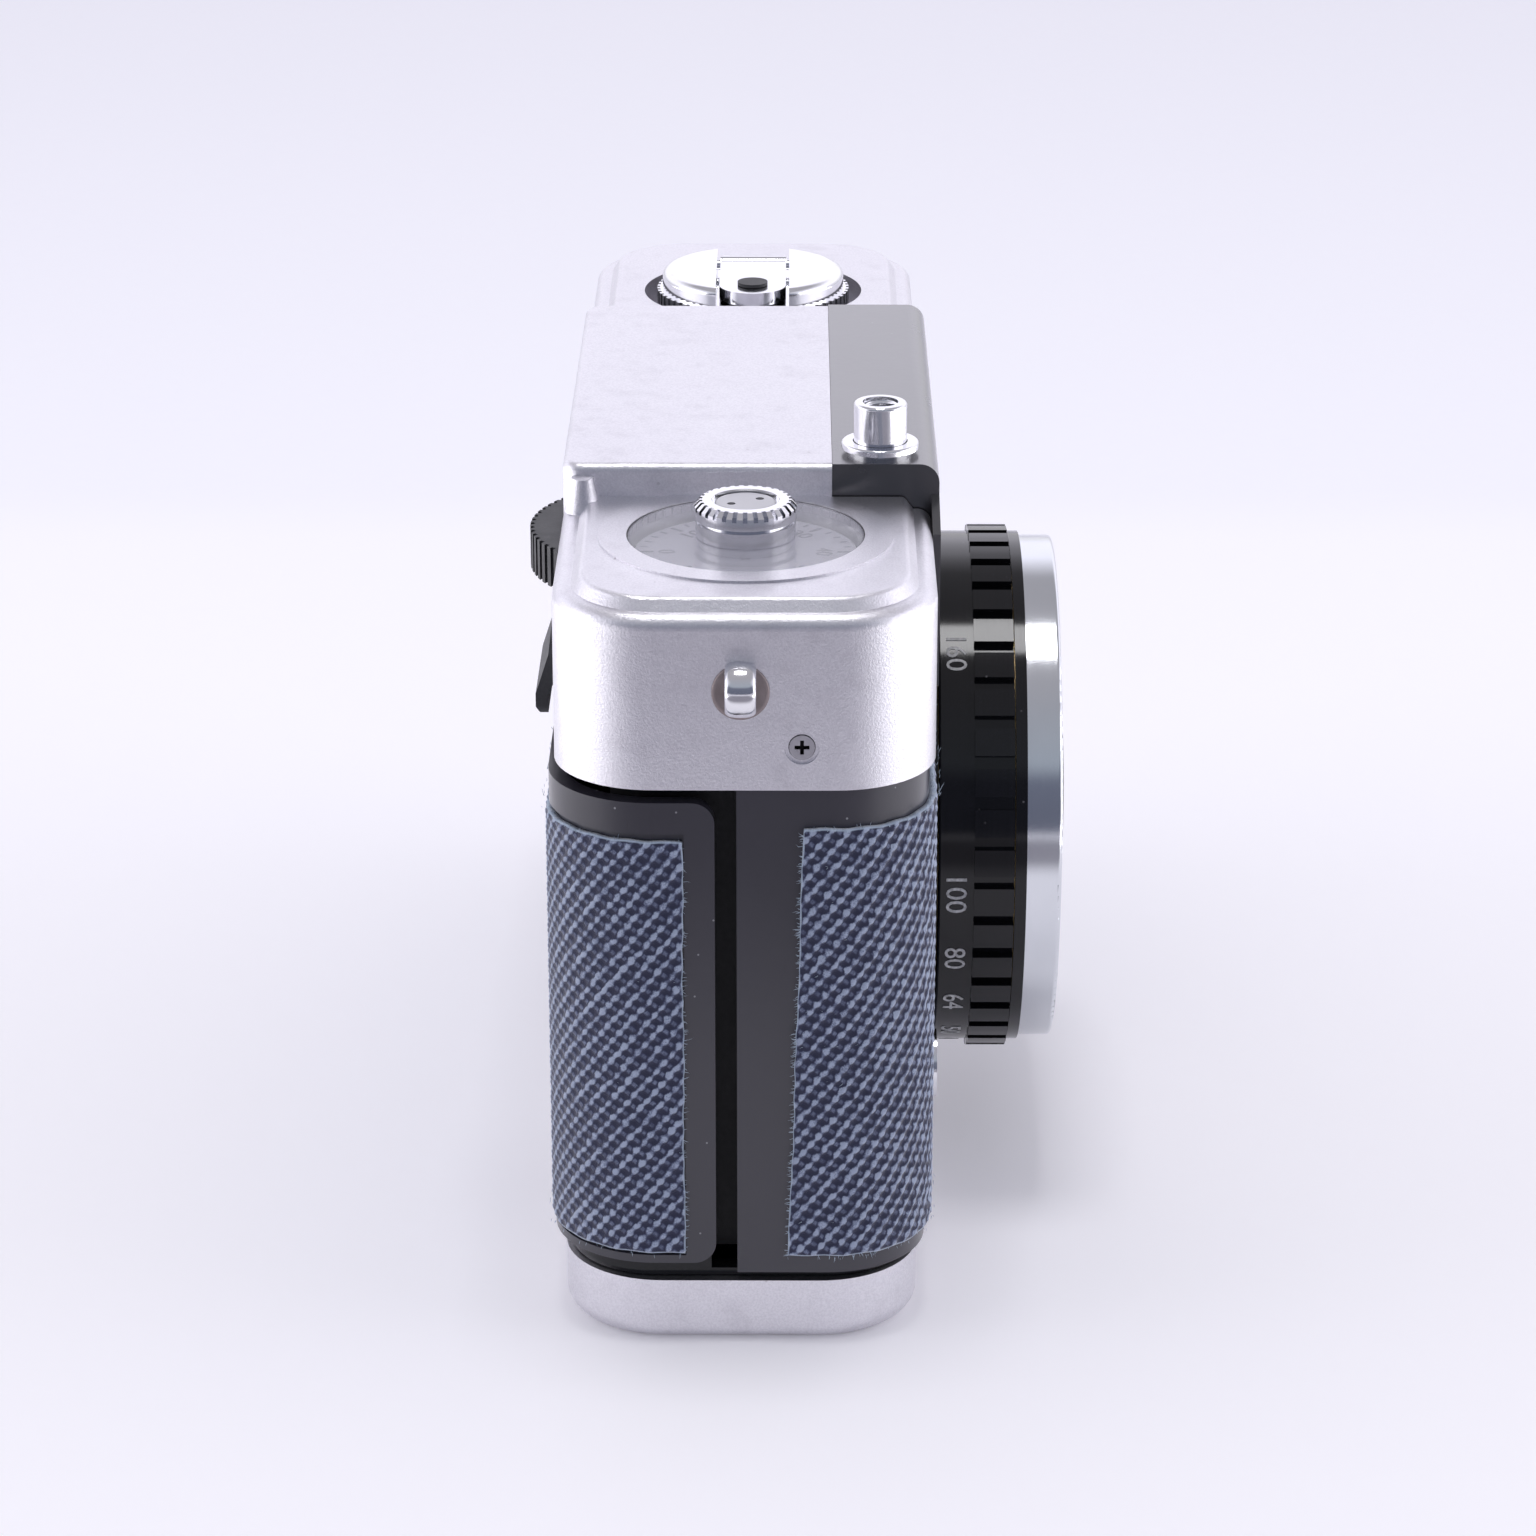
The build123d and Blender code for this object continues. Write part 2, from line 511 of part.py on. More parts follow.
with BuildPart() as pc_socket:
    tube(forward(-shell_front, pc_x, pc_z), pc_radius, 1.7, 1.3)
    tube(forward(12.0, pc_x, pc_z), pc_radius - 0.65, 1.7, 3.0)
    tube(forward(12.0, pc_x, pc_z), 1.7, 0, 1.6)
    tube(forward(13.5, pc_x, pc_z), 0.45, 0, 1.9)
pc_socket.part.label = "pc_socket"
export_step(pc_socket.part, "parts/pc_socket.step")

meter_x, meter_y = 18.6, -1.5
with BuildPart() as meter_unit:
    tube(upright(meter_x, meter_y, deck_top), 5.0, 0, 4.6)
    tube(upright(meter_x, meter_y, 58.2), 0.5, 0, 1.4)
meter_unit.part.label = "meter_unit"
export_step(meter_unit.part, "parts/meter_unit.step")

with BuildPart() as meter_needle:
    tube(upright(meter_x, meter_y, 58.6), 1.0, 0, 0.4)
    block((meter_x - 7.0, meter_y - 0.15, 58.7), (meter_x, meter_y + 0.15, 58.9))
    block((meter_x, meter_y - 0.3, 58.7), (meter_x + 2.2, meter_y + 0.3, 58.9))
    tube(upright(meter_x, meter_y, 58.0), 0.5 + fit, 0, 2, Mode.SUBTRACT)
meter_needle.part.label = "meter_needle"
export_step(meter_needle.part, "parts/meter_needle.step")

# =====================================================================================
# Lens and shutter. Depths are measured forward from the middle of the body.
# =====================================================================================
barrel_radius = 18.9
ring_radius, grip_radius = 22.3, 22.86
ring_back, ring_split, ring_front = 15.95, 18.96, 22.3
retainer_front = 23.35
bezel_radius, bezel_front = 21.93, 26.3
name_front = 27.1

with BuildPart() as lens_flange:
    tube(forward(-shell_front), flange_radius, lens_hole_radius - 1.0, 1.3)
lens_flange.part.label = "lens_flange"
export_step(lens_flange.part, "parts/lens_flange.step")

with BuildPart() as lens_barrel:
    tube(forward(15.9), barrel_radius, 17.6, ring_front + clear - 15.9)
lens_barrel.part.label = "lens_barrel"
export_step(lens_barrel.part, "parts/lens_barrel.step")

blade_post_reach = 11.0
with BuildPart() as shutter_housing:
    tube(forward(15.9), 17.5, 4.5, 1.1)
    tube(forward(17.0), 17.5, 16.4, 5.0)
    tube(forward(12.0), 6.0, 4.5, 3.9)
    for side in (-1, 1):
        tube(forward(17.0, lens_x, lens_z + side * blade_post_reach), 0.8, 0, 1.5)
shutter_housing.part.label = "shutter_housing"
export_step(shutter_housing.part, "parts/shutter_housing.step")


def shutter_blade(side, depth):
    """A blade that covers the opening, with an arm up or down to its post."""
    with BuildPart() as blade:
        with BuildSketch(forward(depth)):
            Circle(5.4)
            with Locations((0, side * blade_post_reach / 2)):
                Rectangle(3.2, blade_post_reach)
            with Locations((0, side * blade_post_reach)):
                Circle(1.9)
                Circle(0.8 + fit, mode=Mode.SUBTRACT)
        extrude(amount=0.35)
    return blade.part


with BuildPart() as blade_upper:
    add(shutter_blade(1, 17.2))
blade_upper.part.label = "blade_upper"
export_step(blade_upper.part, "parts/blade_upper.step")

with BuildPart() as blade_lower:
    add(shutter_blade(-1, 17.9))
blade_lower.part.label = "blade_lower"
export_step(blade_lower.part, "parts/blade_lower.step")

with BuildPart() as speed_ring:
    tube(forward(ring_back), ring_radius, barrel_radius + clear, ring_split - ring_back)
    fillet(speed_ring.faces().sort_by(Axis.Y)[-1].edges().sort_by(SortBy.RADIUS)[-1], 0.2)
speed_ring.part.label = "speed_ring"
export_step(speed_ring.part, "parts/speed_ring.step")

grip_teeth, groove_width, groove_depth = 42, 1.1, 0.75
with BuildPart() as grip_ring:
    with BuildSketch(forward(ring_split)):
        Circle(grip_radius)
        with PolarLocations(grip_radius, grip_teeth):
            Rectangle(2 * groove_depth, groove_width, mode=Mode.SUBTRACT)
        Circle(barrel_radius + clear, mode=Mode.SUBTRACT)
    extrude(amount=ring_front - ring_split)
grip_ring.part.label = "grip_ring"
export_step(grip_ring.part, "parts/grip_ring.step")

with BuildPart() as retaining_ring:
    tube(forward(ring_front + clear), ring_radius, 8.9, retainer_front - ring_front - clear)
retaining_ring.part.label = "retaining_ring"
export_step(retaining_ring.part, "parts/retaining_ring.step")

with BuildPart() as cell_bezel:
    tube(forward(retainer_front), bezel_radius, 19.4, bezel_front - retainer_front)
    tube(forward(25.6), 19.8, 18.6, bezel_front - 25.6)
    fillet(cell_bezel.faces().sort_by(Axis.Y)[0].edges().sort_by(SortBy.RADIUS)[-1], 0.35)
cell_bezel.part.label = "cell_bezel"
export_step(cell_bezel.part, "parts/cell_bezel.step")

with BuildPart() as selenium_cell:
    tube(forward(retainer_front), 19.3, 8.9, 0.8)
selenium_cell.part.label = "selenium_cell"
export_step(selenium_cell.part, "parts/selenium_cell.step")

with BuildPart() as cell_window:
    tube(forward(24.6), 19.3, 8.9, 0.95)
cell_window.part.label = "cell_window"
export_step(cell_window.part, "parts/cell_window.step")

# The inner ring carries the front lens at the bottom of its dished face.
name_radius, front_glass_radius = 8.8, 5.2
with BuildPart() as name_ring:
    tube(forward(18.7), name_radius, front_glass_radius, name_front - 18.7)
    chamfer(name_ring.faces().sort_by(Axis.Y)[0].edges().sort_by(SortBy.RADIUS)[0], 1.0, 2.4)
name_ring.part.label = "name_ring"
export_step(name_ring.part, "parts/name_ring.step")


def domed_lens(depth, radius, edge, bulge):
    """A lens that is flat behind and domed in front by bulge."""
    dome_radius = (radius ** 2 + bulge ** 2) / (2 * bulge)
    half_rise = sqrt(dome_radius ** 2 - radius ** 2 / 4) - dome_radius + bulge
    with BuildPart() as glass:
        with BuildSketch(Plane.XY.offset(lens_z)) as half:
            with BuildLine():
                Polyline((lens_x, -depth), (lens_x + radius, -depth), (lens_x + radius, -depth - edge))
                ThreePointArc((lens_x + radius, -depth - edge),
                              (lens_x + radius / 2, -depth - edge - half_rise),
                              (lens_x, -depth - edge - bulge))
                Line((lens_x, -depth - edge - bulge), (lens_x, -depth))
            make_face()
        revolve(half.sketch, Axis((lens_x, 0, lens_z), (0, 1, 0)))
    return glass.part


with BuildPart() as front_lens:
    add(domed_lens(21.6, front_glass_radius, 1.6, 1.1))
front_lens.part.label = "front_lens"
export_step(front_lens.part, "parts/front_lens.step")

with BuildPart() as rear_lens:
    add(domed_lens(13.0, 4.5, 1.4, 0.7))
rear_lens.part.label = "rear_lens"
export_step(rear_lens.part, "parts/rear_lens.step")

# =====================================================================================
# Film advance, counter and releases
# =====================================================================================
drive_teeth, takeup_teeth = 27, 27
gear_bottom, gear_thickness = 53.9, 1.2
gear_distance = hypot(counter_x - wheel_x, wheel_y)
mesh_angle = degrees(atan2(-wheel_y, counter_x - wheel_x))
drive_pitch_radius = gear_distance * drive_teeth / (drive_teeth + takeup_teeth)
takeup_pitch_radius = gear_distance - drive_pitch_radius


def gear(x, y, pitch_radius, teeth, turn):
    """A thin spur gear with trapezoid teeth, the first one turned to an angle."""
    with BuildPart() as wheel:
        with BuildSketch(upright(x, y, gear_bottom)):
            Circle(pitch_radius - 0.55)
            with PolarLocations(pitch_radius - 0.15, teeth, start_angle=turn):
                Trapezoid(0.75, 0.9, 77, rotation=-90)
        extrude(amount=gear_thickness)
    return wheel.part


wheel_teeth = 72
with BuildPart() as advance_wheel:
    with BuildSketch(upright(wheel_x, wheel_y, wheel_bottom)):
        Circle(wheel_radius)
        with PolarLocations(wheel_radius, wheel_teeth):
            Rectangle(0.75, 0.42, rotation=28, mode=Mode.SUBTRACT)
        Circle(shaft_radius, mode=Mode.SUBTRACT)
    extrude(amount=wheel_top - wheel_bottom)
    tube(upright(wheel_x, wheel_y, gear_bottom + gear_thickness), 3.2, shaft_radius,
         wheel_bottom - gear_bottom - gear_thickness)
advance_wheel.part.label = "advance_wheel"
export_step(advance_wheel.part, "parts/advance_wheel.step")

with BuildPart() as wheel_shaft:
    tube(upright(wheel_x, wheel_y, 9.9), shaft_radius, 0, wheel_top + 0.2 - 9.9)
    add(gear(wheel_x, wheel_y, drive_pitch_radius, drive_teeth, mesh_angle))
wheel_shaft.part.label = "wheel_shaft"
export_step(wheel_shaft.part, "parts/wheel_shaft.step")

with BuildPart() as sprocket:
    tube(upright(wheel_x, wheel_y, 12.8), 4.6, shaft_radius, 35.4)
    for row in (lens_z - perforation_offset, lens_z + perforation_offset):
        tube(upright(wheel_x, wheel_y, row - 3), sprocket_radius, 3, 6.0)
        with BuildSketch(upright(wheel_x, wheel_y, row - 0.75)) as teeth:
            with PolarLocations(sprocket_radius, sprocket_teeth):
                Trapezoid(1.6, 1.8, 75, rotation=-90)
        extrude(teeth.sketch, amount=1.5)
sprocket.part.label = "sprocket"
export_step(sprocket.part, "parts/sprocket.step")

with BuildPart() as takeup_spool:
    tube(upright(counter_x, 0, 12.0), 5.5, 1.5, 36.5)
    for height in (11.4, 48.4):
        tube(upright(counter_x, 0, height), 9.8, 1.5, 1.2)
    block((counter_x - 0.6, 3.0, 22), (counter_x + 0.6, 8.0, 39), Mode.SUBTRACT)
takeup_spool.part.label = "takeup_spool"
export_step(takeup_spool.part, "parts/takeup_spool.step")

with BuildPart() as takeup_shaft:
    tube(upright(counter_x, 0, 8.2), 1.5, 0, 47.1)
    gap_turn = mesh_angle + 180 + 180 / takeup_teeth
    add(gear(counter_x, 0, takeup_pitch_radius, takeup_teeth, gap_turn))
takeup_shaft.part.label = "takeup_shaft"
export_step(takeup_shaft.part, "parts/takeup_shaft.step")

dial_bottom, dial_thickness = 61.5, 0.4
with BuildPart() as counter_dial:
    tube(upright(counter_x, 0, dial_bottom), 8.9, 0, dial_thickness)
    tube(upright(counter_x, 0, 55.7), 1.0, 0, dial_bottom - 55.7)
counter_dial.part.label = "counter_dial"
export_step(counter_dial.part, "parts/counter_dial.step")

crown_teeth, crown_radius, crown_top = 30, 4.1, 66.3
with BuildPart() as counter_knob:
    tube(upright(counter_x, 0, dial_bottom + dial_thickness), 3.85, 0, 1.5)
    tube(upright(counter_x, 0, 63.4), 4.0, 0, 1.2)
    tube(upright(counter_x, 0, 64.6), 3.6, 0, 0.4)
    tube(upright(counter_x, 0, 64.9), crown_radius, 0, crown_top - 64.9)
    chamfer(top_edges(counter_knob), 0.45)
    tube(upright(counter_x, 0, crown_top - 0.6), 2.7, 0, 1.0, Mode.SUBTRACT)
    with BuildSketch(upright(counter_x, 0, crown_top - 0.7)) as nicks:
        with PolarLocations(crown_radius, crown_teeth):
            Rectangle(1.3, 0.36, rotation=0)
    extrude(nicks.sketch, amount=1.0, mode=Mode.SUBTRACT)
counter_knob.part.label = "counter_knob"
export_step(counter_knob.part, "parts/counter_knob.step")

with BuildPart() as counter_screw:
    tube(upright(counter_x, 0, crown_top - 0.6), 2.45, 0, 0.45)
    fillet(top_edges(counter_screw), 0.25)
    with BuildSketch(upright(counter_x, 0, crown_top - 0.4)) as spanner_holes:
        with PolarLocations(1.3, 2, start_angle=120):
            Circle(0.33)
    extrude(spanner_holes.sketch, amount=1.0, mode=Mode.SUBTRACT)
counter_screw.part.label = "counter_screw"
export_step(counter_screw.part, "parts/counter_screw.step")

button_top, button_shoulder = 70.3, 58.6
thread_radius, thread_depth = 1.45, 4.0
with BuildPart() as shutter_button:
    tube(upright(button_x, button_y, button_shoulder), button_radius, 0, button_top - button_shoulder)
    tube(upright(button_x, button_y, 51.5), button_stem_radius, 0, button_shoulder - 51.5)
    fillet(top_edges(shutter_button), 0.25)
    tube(upright(button_x, button_y, button_top - thread_depth), thread_radius, 0, thread_depth,
         Mode.SUBTRACT)
shutter_button.part.label = "shutter_button"
export_step(shutter_button.part, "parts/shutter_button.step")

spring_radius, wire_radius, spring_turns = 1.65, 0.2, 6
spring_low, spring_high = deck_top + wire_radius + 0.02, button_shoulder - wire_radius - 0.02
with BuildPart() as button_spring:
    with BuildLine(Plane.XY) as coil:
        Helix((spring_high - spring_low) / spring_turns, spring_high - spring_low, spring_radius,
              center=(button_x, button_y, spring_low))
    with BuildSketch(Plane(coil.edge() @ 0, z_dir=coil.edge() % 0)):
        Circle(wire_radius)
    sweep(is_frenet=True)
button_spring.part.label = "button_spring"
export_step(button_spring.part, "parts/button_spring.step")

with BuildPart() as release_button:
    tube(upright(wheel_x, wheel_y, 0.3), release_radius, 0, 4.9)
    tube(upright(wheel_x, wheel_y, 5.0), 3.2, 0, 0.8)
    tube(upright(wheel_x, wheel_y, 5.6), 1.5, 0, 3.0)
    with Locations((wheel_x, wheel_y, -1.5)):
        Sphere(2.3, mode=Mode.SUBTRACT)
release_button.part.label = "release_button"
export_step(release_button.part, "parts/release_button.step")

# =====================================================================================
# Rewind: a sleeve that lifts, the knob and fork that turn in it, and a folding crank
# =====================================================================================
knob_radius, knob_bottom, knob_deck, knob_top = 9.0, 60.8, 63.6, 65.4
slot_half_width = 3.4
crank_axis_x, crank_axis_z = rewind_x + 4.5, 64.5
crank_pin_radius = 0.5
grip_x = rewind_x - 5.0
spindle_radius = 2.2

with BuildPart() as rewind_sleeve:
    tube(upright(rewind_x, 0, 54.6), 4.4, spindle_radius + fit, 6.0)
rewind_sleeve.part.label = "rewind_sleeve"
export_step(rewind_sleeve.part, "parts/rewind_sleeve.step")

with BuildPart() as rewind_knob:
    with BuildSketch(upright(rewind_x, 0, knob_bottom)):
        Circle(knob_radius)
        with PolarLocations(knob_radius, 60):
            Rectangle(0.5, 0.4, mode=Mode.SUBTRACT)
    extrude(amount=knob_deck - knob_bottom)
    tube(upright(rewind_x, 0, knob_deck), knob_radius - 0.5, 0, knob_top - knob_deck)
    fillet(top_edges(rewind_knob), 0.7)
    block((rewind_x - 12, -slot_half_width, knob_deck), (rewind_x + 12, slot_half_width, 70), Mode.SUBTRACT)
    tube(upright(grip_x, 0, 61.4), 2.75, 0, 5, Mode.SUBTRACT)
    pin_plane = Plane(origin=(crank_axis_x, -5.0, crank_axis_z), z_dir=(0, 1, 0))
    tube(pin_plane, crank_pin_radius, 0, 10.0)
    tube(upright(rewind_x, 0, knob_bottom), spindle_radius, 0, 1.6, Mode.SUBTRACT)
rewind_knob.part.label = "rewind_knob"
export_step(rewind_knob.part, "parts/rewind_knob.step")

with BuildPart() as rewind_fork:
    tube(upright(rewind_x, 0, 47.0), spindle_radius, 0, 15.4)
    tube(upright(rewind_x, 0, 47.0), 3.6, 0, 3.4)
    for side in (-1, 1):
        block((rewind_x + side * 2.4 - 0.9, -0.8, 43.6), (rewind_x + side * 2.4 + 0.9, 0.8, 47.2))
rewind_fork.part.label = "rewind_fork"
export_step(rewind_fork.part, "parts/rewind_fork.step")

arm_half_width, arm_half_thickness = 3.1, 0.6
with BuildPart() as rewind_crank:
    with BuildSketch(Plane.XY.offset(crank_axis_z - arm_half_thickness)):
        with Locations(((grip_x + crank_axis_x) / 2, 0)):
            Rectangle(crank_axis_x - grip_x, 2 * arm_half_width)
        with Locations((grip_x, 0)):
            Circle(arm_half_width)
    extrude(amount=2 * arm_half_thickness)
    arm_axis = Plane(origin=(crank_axis_x, -arm_half_width, crank_axis_z), z_dir=(0, 1, 0))
    tube(arm_axis, arm_half_thickness + 0.25, 0, 2 * arm_half_width)
    tube(arm_axis, crank_pin_radius + fit, 0, 2 * arm_half_width, Mode.SUBTRACT)
    tube(upright(grip_x, 0, 62.0), 0.9 + fit, 0, 5, Mode.SUBTRACT)
rewind_crank.part.label = "rewind_crank"
export_step(rewind_crank.part, "parts/rewind_crank.step")

with BuildPart() as crank_grip:
    tube(upright(grip_x, 0, 61.8), 2.3, 0, 2.0)
    tube(upright(grip_x, 0, 63.8), 0.9, 0, 1.4)
    tube(upright(grip_x, 0, crank_axis_z + arm_half_thickness + 0.05), 1.4, 0, 0.3)
    fillet(crank_grip.faces().sort_by(Axis.Z)[0].edges(), 0.4)
crank_grip.part.label = "crank_grip"
export_step(crank_grip.part, "parts/crank_grip.step")

print("gear distance", round(gear_distance, 3), "sprocket radius", round(sprocket_radius, 3))
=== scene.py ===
import math
import random
import bpy
import numpy as np
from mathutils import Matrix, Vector


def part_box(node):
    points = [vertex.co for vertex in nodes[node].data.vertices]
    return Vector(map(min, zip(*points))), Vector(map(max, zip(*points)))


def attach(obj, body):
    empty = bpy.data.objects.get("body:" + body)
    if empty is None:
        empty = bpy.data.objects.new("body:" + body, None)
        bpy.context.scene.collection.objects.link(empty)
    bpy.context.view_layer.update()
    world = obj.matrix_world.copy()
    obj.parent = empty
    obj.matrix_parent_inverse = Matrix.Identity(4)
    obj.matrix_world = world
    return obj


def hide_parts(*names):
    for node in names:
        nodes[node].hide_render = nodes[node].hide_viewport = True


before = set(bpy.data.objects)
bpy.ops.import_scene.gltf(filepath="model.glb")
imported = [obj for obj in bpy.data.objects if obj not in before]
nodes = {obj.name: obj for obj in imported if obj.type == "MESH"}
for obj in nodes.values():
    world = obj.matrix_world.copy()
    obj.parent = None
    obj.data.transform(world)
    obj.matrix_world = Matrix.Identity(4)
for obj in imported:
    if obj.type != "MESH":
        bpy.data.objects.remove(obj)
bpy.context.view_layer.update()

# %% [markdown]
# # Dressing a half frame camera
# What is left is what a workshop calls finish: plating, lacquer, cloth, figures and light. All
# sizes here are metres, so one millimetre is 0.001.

MM = 0.001
SEED = 7
random.seed(SEED)

# %% [markdown]
# ## Measuring the frame
# A real trimmer lays the cloth on the shell and marks it there. The same idea holds here: every
# place comes from the box of a piece that the cloth, figure or thread sits on, so that a change of
# the camera's size carries through.

# %% Places that later steps lean on
shell_low, shell_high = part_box("front_shell")
number_low, number_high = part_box("speed_ring")
lens_x = (number_low.x + number_high.x) / 2
lens_z = (number_low.z + number_high.z) / 2
number_radius = (number_high.x - number_low.x) / 2
dial_low, dial_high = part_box("counter_window")
dial_x, dial_y = (dial_low.x + dial_high.x) / 2, (dial_low.y + dial_high.y) / 2
print("lens axis", round(lens_x, 4), round(lens_z, 4), "number ring radius", round(number_radius, 4))

# %% [markdown]
# ## Writing a finish as a sum
# Blender's shader editor joins small maths nodes by hand. It reads better as arithmetic, so
# `Value` wraps one socket, and `+`, `-`, `*` and `/` on it add the maths node that does the work.
# `Tree.node` makes any other node from its type, its settings and what goes into its sockets, for
# a finish and for the room alike.

# %% A socket that can be used in sums
class Value:
    """One socket of a shader tree; a sum of two of them is a new one."""

    def __init__(self, tree, socket):
        self.tree = tree
        self.socket = socket

    def maths(self, operation, first, second=0.0):
        return self.tree.node("Math", {"operation": operation}, {0: first, 1: second}).out(0)

    def __add__(self, other):
        return self.maths("ADD", self, other)

    def __radd__(self, other):
        return self.maths("ADD", other, self)

    def __sub__(self, other):
        return self.maths("SUBTRACT", self, other)

    def __rsub__(self, other):
        return self.maths("SUBTRACT", other, self)

    def __mul__(self, other):
        return self.maths("MULTIPLY", self, other)

    def __rmul__(self, other):
        return self.maths("MULTIPLY", other, self)

    def __truediv__(self, other):
        return self.maths("DIVIDE", self, other)

    def call(self, operation):
        """Any other function of one number: FLOOR, COSINE or ABSOLUTE."""
        return self.maths(operation, self)

    def fade(self, low, high):
        """0 below low, 1 above high and a smooth step between."""
        spread = {"From Min": low, "From Max": high, "Value": self}
        return self.tree.node("MapRange", {"interpolation_type": "SMOOTHSTEP"}, spread).out("Result")


class Made:
    """A node that has just been made, ready to give one of its outputs."""

    def __init__(self, tree, node):
        self.tree = tree
        self.node = node

    def out(self, name):
        return Value(self.tree, self.node.outputs[name])


print("sums of sockets ready")

# %% Any other node, from one method
def set_stops(ramp, stops):
    """Gives a colour ramp its stops, each a place from 0 to 1 and a colour."""
    while len(ramp) < len(stops):
        ramp.new(0.5)
    for stop, (place, colour) in zip(ramp, stops):
        stop.position = place
        stop.color = (*colour, 1.0)


class Tree:
    """The nodes of one material or of the world, empty at the start."""

    def __init__(self, nodes_and_links):
        self.nodes = nodes_and_links.nodes
        self.links = nodes_and_links.links
        self.nodes.clear()

    def node(self, kind, settings, values):
        made = self.nodes.new("ShaderNode" + kind)
        for name, value in settings.items():
            if name == "stops":
                set_stops(made.color_ramp.elements, value)
            else:
                setattr(made, name, value)
        for socket, value in values.items():
            if isinstance(value, Value):
                self.links.new(value.socket, made.inputs[socket])
            else:
                made.inputs[socket].default_value = value
        return Made(self, made)

    def split(self, vector, axis):
        return self.node("SeparateXYZ", {}, {"Vector": vector}).out(axis)

    def mix(self, factor, first, second):
        """Blends two colours; each is three numbers or a colour socket."""
        first = first if isinstance(first, Value) else (*first, 1.0)
        second = second if isinstance(second, Value) else (*second, 1.0)
        values = {"Factor": factor, 6: first, 7: second}
        return self.node("Mix", {"data_type": "RGBA"}, values).out(2)


print("node helper ready")

# %% One finish: a material with a single shader
class Finish(Tree):
    def __init__(self, name, **steady):
        self.material = bpy.data.materials.new(name)
        self.material.use_nodes = True
        super().__init__(self.material.node_tree)
        made = self.node("BsdfPrincipled", {}, {})
        self.node("OutputMaterial", {}, {"Surface": made.out("BSDF")})
        self.shader = made.node
        for socket, value in steady.items():
            self.shader.inputs[socket.replace("_", " ")].default_value = value
        self.where = self.node("TexCoord", {}, {}).out("Object")

    def use(self, **sockets):
        for socket, value in sockets.items():
            self.links.new(value.socket, self.shader.inputs[socket.replace("_", " ")])

    def bump(self, height, depth):
        """Relief `depth` metres deep, where height goes from 0 to 1."""
        made = self.node("Bump", {}, {"Height": height, "Distance": depth, "Strength": 1.0})
        self.use(Normal=made.out("Normal"))

    def noise(self, size, detail=2.0, where=None, roughness=0.5):
        """Soft blotches about `size` metres across, from 0 to 1."""
        values = {"Vector": where or self.where, "Scale": 1.0 / size, "Detail": detail,
                  "Roughness": roughness}
        return self.node("TexNoise", {}, values).out("Fac")

    def stretched(self, scale):
        """The object's coordinates, drawn out along some axes."""
        return self.node("Mapping", {}, {"Vector": self.where, "Scale": scale}).out("Vector")

    def specks(self, size, share):
        """Small round spots: 1 inside a spot, with a given share of the cells holding one."""
        cell = self.node("TexVoronoi", {}, {"Vector": self.where, "Scale": 1.0 / size})
        chosen = self.split(cell.out("Color"), 0).fade(1.0 - share, 1.0 - share + 0.01)
        return (1.0 - cell.out("Distance").fade(0.12, 0.26)) * chosen


print("finish helper ready")

# %% [markdown]
# ## The eye and the room
# Small chrome things are lit inside a tent of white cloth: the metal has no colour of its own and
# shows only what stands around it. A pale floor, a small strong lamp overhead for crisp glints, and
# a strip lamp with a glowing card under it at each side give the grey ends and the bright bands on
# the rounded corners. In front of the object a patch of the floor is grey, which is what an upright
# chrome face shows.

# %% The place of the eye
eye = Vector((-393.36, -3.53, 179.97)) * MM
gaze = Vector((0.93346, 0.00461, -0.35864))
camera_data = bpy.data.cameras.new("eye")
camera_data.sensor_width = 36.0
camera_data.lens = 110.12
camera_data.clip_start, camera_data.clip_end = 0.01, 20.0
camera = bpy.data.objects.new("eye", camera_data)
camera.location = eye
camera.rotation_euler = gaze.to_track_quat("-Z", "Y").to_euler()
bpy.context.scene.collection.objects.link(camera)
bpy.context.scene.camera = camera
bpy.context.scene.view_settings.view_transform = "Standard"
print("a lens of", camera_data.lens, "mm at", round(eye.length, 3), "m")

# %% Floor
FLOOR_REACH = 3.0
FLOOR_DROP = 0.02 * MM
floor_mesh = bpy.data.meshes.new("floor")
corners = [(x * FLOOR_REACH, y * FLOOR_REACH, -FLOOR_DROP) for x, y in ((-1, -1), (1, -1), (1, 1), (-1, 1))]
floor_mesh.from_pydata(corners, [], [(0, 1, 2, 3)])
floor = bpy.data.objects.new("floor", floor_mesh)
bpy.context.scene.collection.objects.link(floor)
print("floor", 2 * FLOOR_REACH, "m wide")

# %% Its paper: a faint change of tone behind, a grey patch in front
paper = Finish("paper", Emission_Strength=0.10)
along = paper.split(paper.where, 0)
nearer = 1.0 - along.fade(0.150, 0.175)
grain = paper.noise(2.5 * MM, 3.0)
sheet_tone = paper.mix(nearer, (0.900, 0.893, 0.945), (0.940, 0.926, 0.955))
sideways = paper.split(paper.where, 1).call("ABSOLUTE")
before_object = 1.0 - along.fade(-0.165, -0.105)
past_patch = along.fade(-0.62, -0.42)
outside_patch = 1.0 - before_object * past_patch * (1.0 - sideways.fade(0.10, 0.26))
tone = paper.mix(outside_patch, (0.28, 0.27, 0.30), sheet_tone)
paper.use(Base_Color=paper.mix(grain * 0.10, tone, (0.80, 0.79, 0.84)))
paper.use(Emission_Color=tone)
paper.use(Roughness=grain * 0.1 + 0.75)
floor_mesh.materials.append(paper.material)
print("paper laid")

